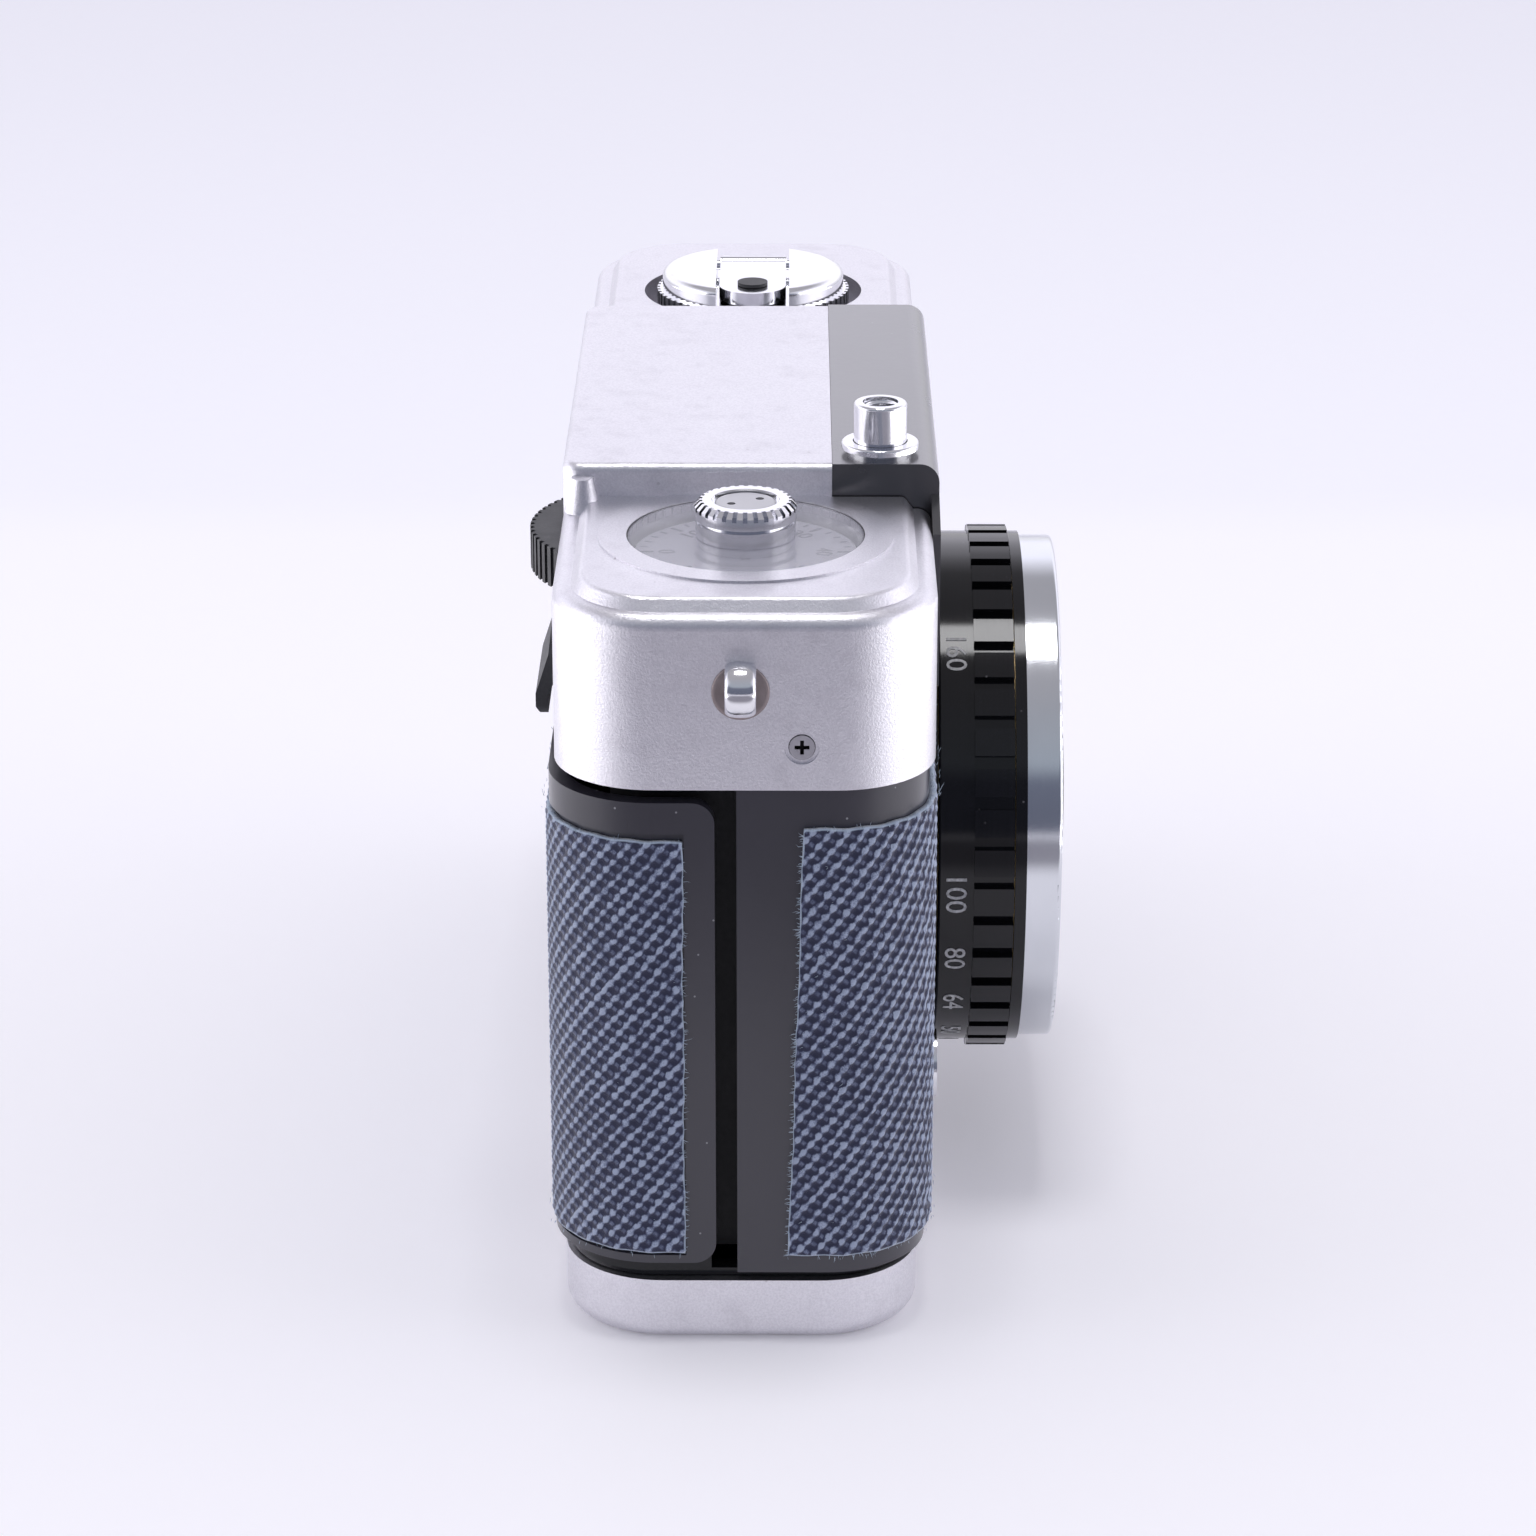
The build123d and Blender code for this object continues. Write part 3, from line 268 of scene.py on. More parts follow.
# %% Lamps
def lamp(name, place, target, width, height, power, tint=(1.0, 1.0, 1.0)):
    data = bpy.data.lights.new(name, "AREA")
    data.shape = "RECTANGLE"
    data.size = width
    data.size_y = height
    data.energy = power
    data.color = tint
    made = bpy.data.objects.new(name, data)
    made.location = place
    made.rotation_euler = (Vector(target) - Vector(place)).to_track_quat("-Z", "Y").to_euler()
    bpy.context.scene.collection.objects.link(made)


lamp("overhead", (-0.03, 0.0, 0.80), (0.0, 0.0, 0.0), 0.20, 0.20, 1.5, (0.985, 0.98, 1.0))
for side in (-1, 1):
    lamp("strip" + str(side), (-0.05, 0.60 * side, 0.16), (0.0, 0.0, 0.04), 0.5, 0.32, 0.55)
    lamp("card" + str(side), (-0.02, 0.25 * side, 0.004), (-0.02, 0.25 * side, 1.0), 0.42, 0.16, 0.6)
print("an overhead lamp, two strips and two cards")

# %% [markdown]
# The tent itself is the world: a colour for every direction. It is pale, except for the darker
# front of the room behind the eye, which is the grey band in every upright chrome face. A ramp over
# the height of the direction gives the band, and a second one says which way it is.

# %% The tent round the camera
world = bpy.data.worlds.new("tent")
world.use_nodes = True
bpy.context.scene.world = world
sky = Tree(world.node_tree)
direction = sky.node("TexCoord", {}, {}).out("Generated")


def sky_ramp(axis, stops):
    """Colours along one axis of the direction, which runs from -1 to 1."""
    values = {"From Min": -1.0, "From Max": 1.0, "Value": sky.split(direction, axis)}
    spread = sky.node("MapRange", {}, values).out("Result")
    moved = [(0.5 + 0.5 * place, colour) for place, colour in stops]
    return sky.node("ValToRGB", {"stops": moved}, {"Fac": spread}).out("Color")


print("sky helper ready")

# %% Its colours: the dark front of the room, the pale tent, and where each is
FLOOR_GLOW = (0.85, 0.84, 0.90)
CEILING = (0.45, 0.44, 0.48)
CLOTH_LIGHT = (1.27, 1.25, 1.40)
room = sky_ramp("Z", [(-1.0, FLOOR_GLOW), (-0.10, (0.70, 0.68, 0.74)), (-0.04, (0.15, 0.16, 0.22)),
                      (0.38, (0.17, 0.185, 0.25)), (0.50, (0.42, 0.46, 0.53)), (1.0, CEILING)])
tent = sky_ramp("Z", [(-1.0, FLOOR_GLOW), (0.05, (0.95, 0.94, 1.0)), (0.22, CLOTH_LIGHT),
                      (0.52, CLOTH_LIGHT), (0.75, CEILING), (1.0, CEILING)])
in_room = sky_ramp("X", [(-1.0, (1, 1, 1)), (-0.62, (1, 1, 1)), (-0.20, (0, 0, 0)), (1.0, (0, 0, 0))])
background = sky.node("Background", {}, {"Color": sky.mix(in_room, tent, room), "Strength": 1.0})
sky.node("OutputWorld", {}, {"Surface": background.out("Background")})
print("a pale tent with a darker front")

# %% [markdown]
# ## Satin and polished chrome
# The covers are blasted with fine beads and then plated, which leaves a skin of tiny dimples: soft
# reflections with a faint sparkle. Dimples in the mesh would take millions of faces, so a very small
# bump does it, and the same noise mottles the colour a little. The buttons and rings are plated over
# polished brass, so they keep a mirror's gloss with only some haze from handling.

# %% Satin and polished
def satin_chrome():
    finish = Finish("satin chrome", Metallic=1.0)
    cloud = finish.noise(14 * MM, 3.0)
    dimple = finish.noise(0.19 * MM, 3.0, roughness=0.75)
    dirt = finish.specks(0.7 * MM, 0.012)
    grit = dimple.fade(0.36, 0.66)
    stain = finish.noise(2.4 * MM, 4.0).fade(0.48, 0.80)
    worn = finish.mix(cloud, (0.77, 0.755, 0.80), (0.84, 0.83, 0.865))
    mottled = finish.mix(grit * 0.30, worn, (0.52, 0.51, 0.55))
    stained = finish.mix(stain * 0.24, mottled, (0.50, 0.48, 0.52))
    finish.use(Base_Color=finish.mix(dirt * 0.5, stained, (0.30, 0.28, 0.29)))
    finish.use(Roughness=cloud * 0.06 + dimple * 0.16 + 0.22)
    finish.bump(dimple, 0.038 * MM)
    return finish


def polished_chrome():
    finish = Finish("polished chrome", Metallic=1.0)
    haze = finish.noise(1.5 * MM, 3.0)
    finish.use(Base_Color=finish.mix(haze, (0.74, 0.74, 0.77), (0.84, 0.84, 0.86)))
    finish.use(Roughness=haze * 0.10 + 0.07)
    finish.bump(haze, 0.004 * MM)
    return finish


finishes = {"satin_chrome": satin_chrome(), "polished_chrome": polished_chrome()}
print(len(finishes), "chrome finishes")

# %% Screw heads and turned rings
screw_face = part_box("cover_screws")[1].x


def slotted_chrome():
    """Screw heads: everything below the head's face, which is the cross, is painted near black as shade in
    the recess.
    """
    finish = Finish("slotted chrome", Metallic=1.0)
    haze = finish.noise(0.8 * MM, 3.0)
    from_middle = finish.split(finish.where, 0).call("ABSOLUTE")
    # painted shade: the recess of the cross, below the head's face, gets a near black colour
    cross_painted_shade = 1.0 - from_middle.fade(screw_face - 0.2 * MM, screw_face - 0.05 * MM)
    clean = finish.mix(haze, (0.50, 0.49, 0.52), (0.66, 0.65, 0.68))
    finish.use(Base_Color=finish.mix(cross_painted_shade, clean, (0.012, 0.011, 0.012)))
    finish.use(Roughness=haze * 0.15 + 0.22)
    return finish


def turned_chrome():
    """Chrome over turned metal: fine lines run round the ring."""
    finish = Finish("turned chrome", Metallic=1.0)
    lines = finish.noise(1.0, 3.0, finish.stretched((60.0, 14000.0, 60.0)))
    haze = finish.noise(5 * MM, 2.0)
    finish.use(Base_Color=finish.mix(haze, (0.64, 0.66, 0.69), (0.74, 0.76, 0.79)))
    finish.use(Roughness=lines * 0.12 + 0.07)
    finish.bump(lines, 0.003 * MM)
    return finish


finishes["turned_chrome"] = turned_chrome()
finishes["slotted_chrome"] = slotted_chrome()
print("screw face at", round(screw_face, 5))

# %% [markdown]
# ## Lacquers, blacking and the inside metals
# Body shells were sprayed in a dark lacquer that picks up fine scratches and dust. The finder panel
# and lens rings are smoother and blacker. Inside, where nobody looks, parts stay as they left the
# lathe: steel and brass with the marks of the tool. A scratch is the top of a noise drawn out along
# one axis, kept only where a larger noise is high: less work than drawing scratches one by one.

# %% Charcoal lacquer with scratches and dust
def charcoal_lacquer():
    finish = Finish("charcoal lacquer", Coat_Weight=0.5, Coat_Roughness=0.16)
    cloud = finish.noise(9 * MM, 4.0)
    scratch = finish.noise(1.0, 2.0, finish.stretched((500.0, 2400.0, 160.0)))
    mark = scratch.fade(0.70, 0.74) * finish.noise(7 * MM, 1.0).fade(0.50, 0.62)
    dust = finish.specks(0.45 * MM, 0.02)
    peel = finish.noise(0.5 * MM, 2.0)
    base = finish.mix(cloud, (0.021, 0.020, 0.029), (0.033, 0.031, 0.043))
    marked = finish.mix(mark * 0.6, base, (0.008, 0.008, 0.010))
    finish.use(Base_Color=finish.mix(dust * 0.6, marked, (0.45, 0.45, 0.48)))
    finish.use(Roughness=cloud * 0.12 + mark * 0.15 + 0.26)
    finish.bump(peel, 0.006 * MM)
    return finish


finishes["charcoal"] = charcoal_lacquer()
print("charcoal lacquer")

# %% Enamel, blacking and moulded plastic
def black_enamel():
    finish = Finish("black enamel", Coat_Roughness=0.20, Coat_IOR=1.8)
    cloud = finish.noise(7 * MM, 3.0)
    peel = finish.noise(0.7 * MM, 2.0)
    rub = finish.specks(0.4 * MM, 0.01)
    base = finish.mix(cloud, (0.012, 0.012, 0.015), (0.022, 0.021, 0.026))
    finish.use(Base_Color=finish.mix(rub * 0.5, base, (0.20, 0.20, 0.22)))
    finish.use(Roughness=cloud * 0.10 + 0.24)
    finish.use(Coat_Weight=cloud * 0.2 + 0.7)
    finish.bump(peel, 0.005 * MM)
    return finish


def black_anodised():
    finish = Finish("black anodised", Specular_IOR_Level=0.36)
    lines = finish.noise(1.0, 2.0, finish.stretched((80.0, 9000.0, 80.0)))
    nick = finish.specks(0.5 * MM, 0.01)
    base = finish.mix(lines, (0.003, 0.003, 0.004), (0.007, 0.007, 0.009))
    finish.use(Base_Color=finish.mix(nick * 0.6, base, (0.30, 0.29, 0.30)))
    finish.use(Roughness=lines * 0.08 + 0.07)
    finish.bump(lines, 0.002 * MM)
    return finish


def worn_plastic():
    """Black moulding with a dull, dusty skin."""
    finish = Finish("worn plastic")
    cloud = finish.noise(2.5 * MM, 4.0)
    pit = finish.noise(0.25 * MM, 2.0)
    rub = cloud.fade(0.55, 0.75)
    base = finish.mix(pit, (0.020, 0.020, 0.023), (0.040, 0.040, 0.044))
    finish.use(Base_Color=finish.mix(rub * 0.5, base, (0.13, 0.13, 0.14)))
    finish.use(Roughness=cloud * 0.2 + 0.42)
    finish.bump(pit, 0.010 * MM)
    return finish


finishes["enamel"] = black_enamel()
finishes["anodised"] = black_anodised()
finishes["plastic"] = worn_plastic()
print("three blacks")

# %% Bare metals of the inside
def bare_metal(name, dark, light, rough):
    finish = Finish(name, Metallic=1.0)
    tool = finish.noise(1.0, 3.0, finish.stretched((120.0, 120.0, 7000.0)))
    cloud = finish.noise(4 * MM, 3.0)
    finish.use(Base_Color=finish.mix(cloud, dark, light))
    finish.use(Roughness=tool * 0.15 + rough)
    finish.bump(tool, 0.004 * MM)
    return finish


def cast_alloy():
    finish = Finish("cast alloy")
    sand = finish.noise(0.4 * MM, 3.0)
    cloud = finish.noise(8 * MM, 2.0)
    finish.use(Base_Color=finish.mix(cloud, (0.010, 0.010, 0.011), (0.022, 0.022, 0.024)))
    finish.use(Roughness=sand * 0.2 + 0.5)
    finish.bump(sand, 0.02 * MM)
    return finish


finishes["steel"] = bare_metal("bare steel", (0.42, 0.42, 0.43), (0.56, 0.56, 0.57), 0.28)
finishes["brass"] = bare_metal("turned brass", (0.58, 0.42, 0.18), (0.74, 0.57, 0.28), 0.24)
finishes["casting"] = cast_alloy()
print(len(finishes), "finishes so far")

# %% [markdown]
# ## Glass, the light cell and the counter dial
# Lens glass carries a violet coating. The counter sits under a clear disc that greys what is below
# it. The light cell is a dark, slightly purple plate that shows through the ring of lenslets.
# Refraction would be truer, but Alpha, which lets part of what lies below show through, comes out
# clean with few samples, so it does for all the glasses.

# %% Clear and coated glass
def glass(name, tint, low, high, alpha=0.25):
    finish = Finish(name, IOR=1.5, Coat_Roughness=0.03)
    smear = finish.noise(3 * MM, 3.0)
    finish.use(Base_Color=finish.mix(smear, tint, tuple(0.92 * part for part in tint)))
    finish.use(Roughness=smear * (high - low) + low)
    finish.use(Alpha=smear * 0.06 + alpha)
    return finish


def coated_lens():
    finish = Finish("coated lens", IOR=1.7, Coat_Roughness=0.02)
    smear = finish.noise(2 * MM, 2.0)
    finish.use(Base_Color=finish.mix(smear, (0.030, 0.012, 0.055), (0.055, 0.022, 0.080)))
    finish.use(Roughness=smear * 0.04 + 0.03)
    finish.use(Coat_Weight=smear * 0.2 + 0.7)
    finish.use(Alpha=smear * 0.05 + 0.62)
    return finish


finishes["clear"] = glass("clear glass", (0.80, 0.80, 0.86), 0.02, 0.07)
finishes["frosted"] = glass("frosted window", (0.80, 0.80, 0.84), 0.22, 0.34, 0.7)
finishes["lenslet"] = glass("moulded lenslets", (0.55, 0.52, 0.58), 0.05, 0.12, 0.42)
finishes["coated"] = coated_lens()
print("four glasses")

# %% Light cell, dial and the loops' seats
def cell_plate():
    finish = Finish("light cell")
    streak = finish.noise(1.6 * MM, 4.0)
    finish.use(Base_Color=finish.mix(streak, (0.030, 0.016, 0.020), (0.075, 0.045, 0.055)))
    finish.use(Roughness=streak * 0.2 + 0.22)
    finish.bump(streak, 0.01 * MM)
    return finish


def dial_paint():
    finish = Finish("dial paint")
    cloud = finish.noise(3 * MM, 3.0)
    finish.use(Base_Color=finish.mix(cloud, (0.335, 0.325, 0.385), (0.385, 0.370, 0.430)))
    finish.use(Roughness=cloud * 0.15 + 0.32)
    finish.bump(cloud, 0.004 * MM)
    return finish


def seat_metal():
    """The seat of a strap loop, browned by age where no cloth reaches it."""
    finish = Finish("seat metal", Metallic=0.8)
    cloud = finish.noise(1.2 * MM, 3.0)
    finish.use(Base_Color=finish.mix(cloud, (0.20, 0.165, 0.165), (0.36, 0.31, 0.31)))
    finish.use(Roughness=cloud * 0.2 + 0.35)
    return finish


finishes["cell"] = cell_plate()
finishes["dial"] = dial_paint()
finishes["seat"] = seat_metal()
print(len(finishes), "finishes so far")

# %% [markdown]
# ## Handing out the finishes
# Every piece of the frame keeps its shape and gets one finish in all its material slots. A table
# from finish to pieces is easier to check by eye than one line for each piece.

# %% Who wears what
wearing = {
    "satin_chrome": ["top_cover", "bottom_plate", "latch_disc"],
    "polished_chrome": ["button_collar", "strap_lugs", "pc_socket", "latch_tab",
                        "shutter_button", "counter_knob", "rewind_knob", "rewind_crank",
                        "release_button"],
    "slotted_chrome": ["cover_screws"],
    "turned_chrome": ["cell_bezel"],
    "charcoal": ["front_shell", "back_shell"],
    "enamel": ["finder_panel"],
    "anodised": ["speed_ring", "grip_ring", "retaining_ring", "name_ring", "lens_flange",
                 "base_frame", "shutter_housing", "blade_upper", "blade_lower", "pressure_plate"],
    "plastic": ["advance_wheel", "thumb_rest", "finder_tunnel", "eyepiece_frame", "takeup_spool",
                "crank_grip"],
    "steel": ["tripod_socket", "pressure_springs", "latch_cam", "top_deck", "meter_unit",
              "wheel_shaft", "sprocket", "rewind_fork", "button_spring", "counter_screw"],
    "brass": ["lens_barrel", "takeup_shaft", "rewind_sleeve", "meter_needle"],
    "casting": ["body_casting"],
    "clear": ["finder_window", "eyepiece_lens", "counter_window", "cell_window"],
    "frosted": ["frame_window"],
    "coated": ["front_lens", "rear_lens"],
    "cell": ["selenium_cell"],
    "dial": ["counter_dial"],
}
for finish_name, members in wearing.items():
    for member in members:
        for place in nodes[member].material_slots:
            place.material = finishes[finish_name].material
print(sum(len(members) for members in wearing.values()), "frame pieces finished")

# %% [markdown]
# ## Blue twill coverings
# The covering is a strong cotton twill, cut by hand and glued on. In a twill each pale thread goes
# over two or three others and starts one thread higher than its neighbour, so the floats line up in
# diagonal ridges. Each covering is a fine grid laid round the shell, and every vertex is lifted by
# the height of the thread that crosses it, because a bump alone would leave the outline and the cut
# edges smooth. The same sums, on the same two measures, then colour the threads, so that light
# threads always lie on the ridges.

# %% The weave as numbers
TWILL_ANGLE = math.radians(50)
RIDGE_GAP = 1.07 * MM
FLOAT_LENGTH = 0.93 * MM
ROW_STEP = 0.37
WEFT_STEP = 0.3


def weave_height(run, rise):
    """Height of the twill, 0 to 1, at a distance round the shell and up it."""
    along = run * math.cos(TWILL_ANGLE) + rise * math.sin(TWILL_ANGLE)
    across = rise * math.cos(TWILL_ANGLE) - run * math.sin(TWILL_ANGLE)
    row = across / RIDGE_GAP
    ridge = 0.5 + 0.5 * np.cos(2 * np.pi * row)
    beat = 0.5 + 0.5 * np.cos(2 * np.pi * (along / FLOAT_LENGTH + np.floor(row + 0.5) * ROW_STEP))
    weft = 0.5 + 0.5 * np.cos(2 * np.pi * (along / FLOAT_LENGTH + np.floor(row) * ROW_STEP + WEFT_STEP))
    return ridge ** 1.4 * (0.72 + 0.28 * beat) + (1 - ridge) ** 1.4 * 0.42 * weft


print("ridges every", RIDGE_GAP, "m at", round(math.degrees(TWILL_ANGLE)), "degrees")

# %% Twill as a finish, with the same sums on the same measures
def twill_finish():
    finish = Finish("blue twill", Sheen_Weight=0.55, Sheen_Roughness=0.45, Specular_IOR_Level=0.35)
    measures = finish.node("Attribute", {"attribute_name": "cloth"}, {}).out("Vector")
    wobble = finish.noise(0.8 * MM, 3.0) - 0.5
    run = finish.split(measures, 0) + wobble * (0.42 * MM)
    rise = finish.split(measures, 1) - wobble * (0.30 * MM)
    cut = finish.split(measures, 2)
    along = run * math.cos(TWILL_ANGLE) + rise * math.sin(TWILL_ANGLE)
    across = rise * math.cos(TWILL_ANGLE) - run * math.sin(TWILL_ANGLE)
    row = across / RIDGE_GAP
    turn = 2 * math.pi
    ridge = (row * turn).call("COSINE") * 0.5 + 0.5
    over = (row + 0.5).call("FLOOR") * ROW_STEP + along / FLOAT_LENGTH
    under = row.call("FLOOR") * ROW_STEP + along / FLOAT_LENGTH + WEFT_STEP
    beat = (over * turn).call("COSINE") * 0.5 + 0.5
    weft = (under * turn).call("COSINE") * 0.5 + 0.5
    fibre = finish.noise(0.12 * MM, 2.0)
    patch = finish.noise(1.3 * MM, 3.0)
    pale = (ridge + beat * 0.40 + wobble * 0.8).fade(0.66, 1.26)
    mid = (1.0 - ridge).fade(0.45, 0.95) * weft.fade(0.40, 0.95) * 0.46
    light = (pale * 1.05 + mid) * (patch * 1.5 + 0.22) * (fibre * 1.3 + 0.35)
    stops = [(0.0, (0.026, 0.029, 0.064)), (0.25, (0.050, 0.059, 0.116)), (0.60, (0.170, 0.200, 0.305)),
             (1.0, (0.40, 0.46, 0.60))]
    threads = finish.node("ValToRGB", {"stops": stops}, {"Fac": light}).out("Color")
    finish.use(Base_Color=finish.mix(cut.fade(0.35, 0.95) * 0.85, threads, (0.50, 0.60, 0.74)))
    finish.use(Roughness=fibre * 0.15 + 0.72)
    finish.bump(fibre * 0.5 + light * 0.5, 0.10 * MM)
    return finish


finishes["twill"] = twill_finish()
print("twill finish")

# %% Walking round the plan of the shell
COVER_RADIUS = 8.7 * MM


def round_plan(run, half, depth):
    """Place and outward direction after walking `run` from the middle of an end, round the front."""
    lead, arc, flat = depth - COVER_RADIUS, math.pi / 2 * COVER_RADIUS, 2 * (half - COVER_RADIUS)
    turn = np.clip((run - lead) / COVER_RADIUS, 0, math.pi / 2)
    second = np.clip((run - lead - arc - flat) / COVER_RADIUS, 0, math.pi / 2)
    angle = turn + second
    out_x, out_y = -np.cos(angle), -np.sin(angle)
    centre_x = -half + COVER_RADIUS + np.clip(run - lead - arc, 0, flat)
    first_part = -np.minimum(run, lead)
    last_part = np.maximum(run - lead - 2 * arc - flat, 0)
    x = centre_x + COVER_RADIUS * out_x
    y = first_part + COVER_RADIUS * out_y + last_part
    return x, y, out_x, out_y


print("corners of", COVER_RADIUS, "m")

# %% The grid of one covering
GRID_STEP = 0.21 * MM
BACK_ROWS = 12
CLOTH_THICK = 0.7 * MM
RELIEF = 0.24 * MM
EDGE_ROLL = 0.22 * MM
EDGE_DROP = 0.20 * MM
CUT_BAND = 0.16 * MM


def lay_grid(low_z, high_z, start, stop):
    """Distance round the shell and height up it, for each vertex between two cut edges.

    The last result is how far each vertex lies from the nearest edge."""
    rows = BACK_ROWS * max(2, round((high_z - low_z) / GRID_STEP / BACK_ROWS))
    rise = np.linspace(low_z, high_z, rows + 1)
    begin, end = start(rise), stop(rise)
    columns = round(float(np.max(end - begin)) / GRID_STEP)
    share = np.linspace(0, 1, columns + 1)
    run = begin[:, None] + (end - begin)[:, None] * share[None, :]
    lift = np.repeat(rise[:, None], columns + 1, 1)
    wander = 0.05 * MM * np.sin(run / (3.1 * MM)) + 0.04 * MM * np.sin(run / (0.5 * MM) + 1.3)
    lift = lift + wander * np.abs(2 * (lift - low_z) / (high_z - low_z) - 1) ** 8
    inset = np.minimum(np.minimum(run - begin[:, None], end[:, None] - run),
                       np.minimum(lift - lift[0], lift[-1] - lift))
    return run, lift, inset


print("grid of", GRID_STEP, "m")

# %% The faces between the woven front and the plain back
def cloth_faces(rows, columns):
    """The front has a vertex at every row, the back only at every (rows / BACK_ROWS)th."""
    wide, step = columns + 1, rows // BACK_ROWS
    first_back = (rows + 1) * wide
    faces = [(r * wide + c, r * wide + c + 1, (r + 1) * wide + c + 1, (r + 1) * wide + c)
             for r in range(rows) for c in range(columns)]
    for r in range(BACK_ROWS):
        for c in range(columns):
            a = first_back + r * wide + c
            faces.append((a + wide, a + wide + 1, a + 1, a))
        for c, flip in ((0, 1), (columns, -1)):
            edge = [(r * step + k) * wide + c for k in range(step + 1)]
            back = [first_back + (r + 1) * wide + c, first_back + r * wide + c]
            faces.append(tuple((edge + back)[::flip]))
    for c in range(columns):
        faces.append((c, first_back + c, first_back + c + 1, c + 1))
        top, back_top = rows * wide + c, first_back + BACK_ROWS * wide + c
        faces.append((top + 1, back_top + 1, back_top, top))
    return faces


print("a back with", BACK_ROWS, "rows")

# %% Laying one covering
def cloth_mesh(name, points, faces, measures):
    """A smooth twill mesh that carries its own measures, so that the finish can read them."""
    mesh = bpy.data.meshes.new(name)
    mesh.from_pydata(points.tolist(), [], faces)
    stored = mesh.attributes.new("cloth", "FLOAT_VECTOR", "POINT")
    stored.data.foreach_set("vector", measures.astype(np.float32).reshape(-1))
    mesh.polygons.foreach_set("use_smooth", [True] * len(mesh.polygons))
    mesh.materials.append(finishes["twill"].material)
    return mesh


def covering(name, node, body, start, stop, turned=False, pressed=None):
    """A grid from start(rise) to stop(rise) round the shell, lifted by its weave and closed behind.

    A turned one goes round the back. Inside the circle `pressed` the cloth is squeezed down to the
    shell by what is screwed on it."""
    low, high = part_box(node)
    half = max(abs(low.x), abs(high.x)) if turned else shell_high.x + CLOTH_THICK
    depth = high.y if turned else -low.y
    run, lift, inset = lay_grid(low.z, high.z, start, stop)
    soft = np.clip(inset / EDGE_ROLL, 0, 1) ** 0.5
    height = (-RELIEF * 1.1 + weave_height(run, lift) * RELIEF) * soft - EDGE_DROP * (1 - soft)
    x, y, out_x, out_y = round_plan(run, half, depth)
    if pressed:
        (centre, radius), flat_out = pressed, 0.98 * CLOTH_THICK
        height = np.where(np.hypot(x - centre[0], lift - centre[1]) < radius, -flat_out, height)
    rows, columns = run.shape[0] - 1, run.shape[1] - 1
    sparse = slice(None, None, rows // BACK_ROWS)
    front = np.stack([x + out_x * height, y + out_y * height, lift], -1).reshape(-1, 3)
    behind = np.stack([x - out_x * CLOTH_THICK, y - out_y * CLOTH_THICK, lift], -1)[sparse].reshape(-1, 3)
    points = np.concatenate([front, behind])
    if turned:
        points[:, :2] *= -1
    cut = np.concatenate([1 - np.clip(inset / CUT_BAND, 0, 1).reshape(-1), np.ones(len(behind))])
    measures = np.stack([np.concatenate([run.reshape(-1), run[sparse].reshape(-1)]),
                         np.concatenate([lift.reshape(-1), lift[sparse].reshape(-1)]), cut], -1)
    mesh = cloth_mesh(name, points, cloth_faces(rows, columns), measures)
    piece = bpy.data.objects.new(name, mesh)
    bpy.context.scene.collection.objects.link(piece)
    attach(piece, body)
    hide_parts(node)
    width = round(float(np.mean(run[:, -1] - run[:, 0])), 4)


print("ready to lay cloth", CLOTH_THICK, "m thick")

# %% [markdown]
# Where each covering starts and stops: the near edge of the front piece was cut on a slant, and both
# front pieces are cut round the lens. Working in distance round the shell keeps those cuts true.

# %% Where the cloth is cut
LENS_CUT = 23.3 * MM
SOCKET_PRESS = 2.4 * MM
front_depth = -shell_low.y + CLOTH_THICK
front_half = shell_high.x + CLOTH_THICK
lead = front_depth - COVER_RADIUS
corner = math.pi / 2 * COVER_RADIUS
flat = 2 * (front_half - COVER_RADIUS)
leather_low, leather_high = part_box("front_leather_near")


def slant(rise, top, bottom):
    """Distance of a cut edge from the middle of the end, from bottom to top of the cloth."""
    share = (rise - leather_low.z) / (leather_high.z - leather_low.z)
    waver = 0.05 * MM * np.sin(rise / (2.3 * MM)) + 0.04 * MM * np.sin(rise / (0.45 * MM))
    return bottom + (top - bottom) * share + waver


def beside_lens(rise, side):
    reach = np.sqrt(np.maximum(LENS_CUT ** 2 - (rise - lens_z) ** 2, 0))
    return lead + corner + (lens_x + side * reach) + front_half - COVER_RADIUS


print("lens cut", LENS_CUT, "m")

# %% The three coverings
whole_front = 2 * lead + 2 * corner + flat
socket_low, socket_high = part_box("pc_socket")
socket_centre = ((socket_low.x + socket_high.x) / 2, (socket_low.z + socket_high.z) / 2)
covering("twill_near", "front_leather_near", "camera_body",
         lambda rise: slant(rise, 4.65 * MM, 3.5 * MM), lambda rise: beside_lens(rise, -1),
         pressed=(socket_centre, SOCKET_PRESS))
covering("twill_far", "front_leather_far", "camera_body",
         lambda rise: beside_lens(rise, 1), lambda rise: whole_front - slant(rise, 4.0 * MM, 4.2 * MM))
back_low, back_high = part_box("back_leather")
whole_back = 2 * (back_high.y - COVER_RADIUS) + 2 * corner + 2 * (back_high.x - COVER_RADIUS)
covering("twill_back", "back_leather", "film_back",
         lambda rise: slant(rise, back_low.y, back_low.y),
         lambda rise: whole_back - slant(rise, back_low.y, back_low.y), turned=True)

# %% [markdown]
# ## Figures on the film speed ring
# The figures are engraved and filled with white paint. Text laid flat would cut into the ring, so
# each figure is turned into a mesh and every point is rolled round the lens axis.

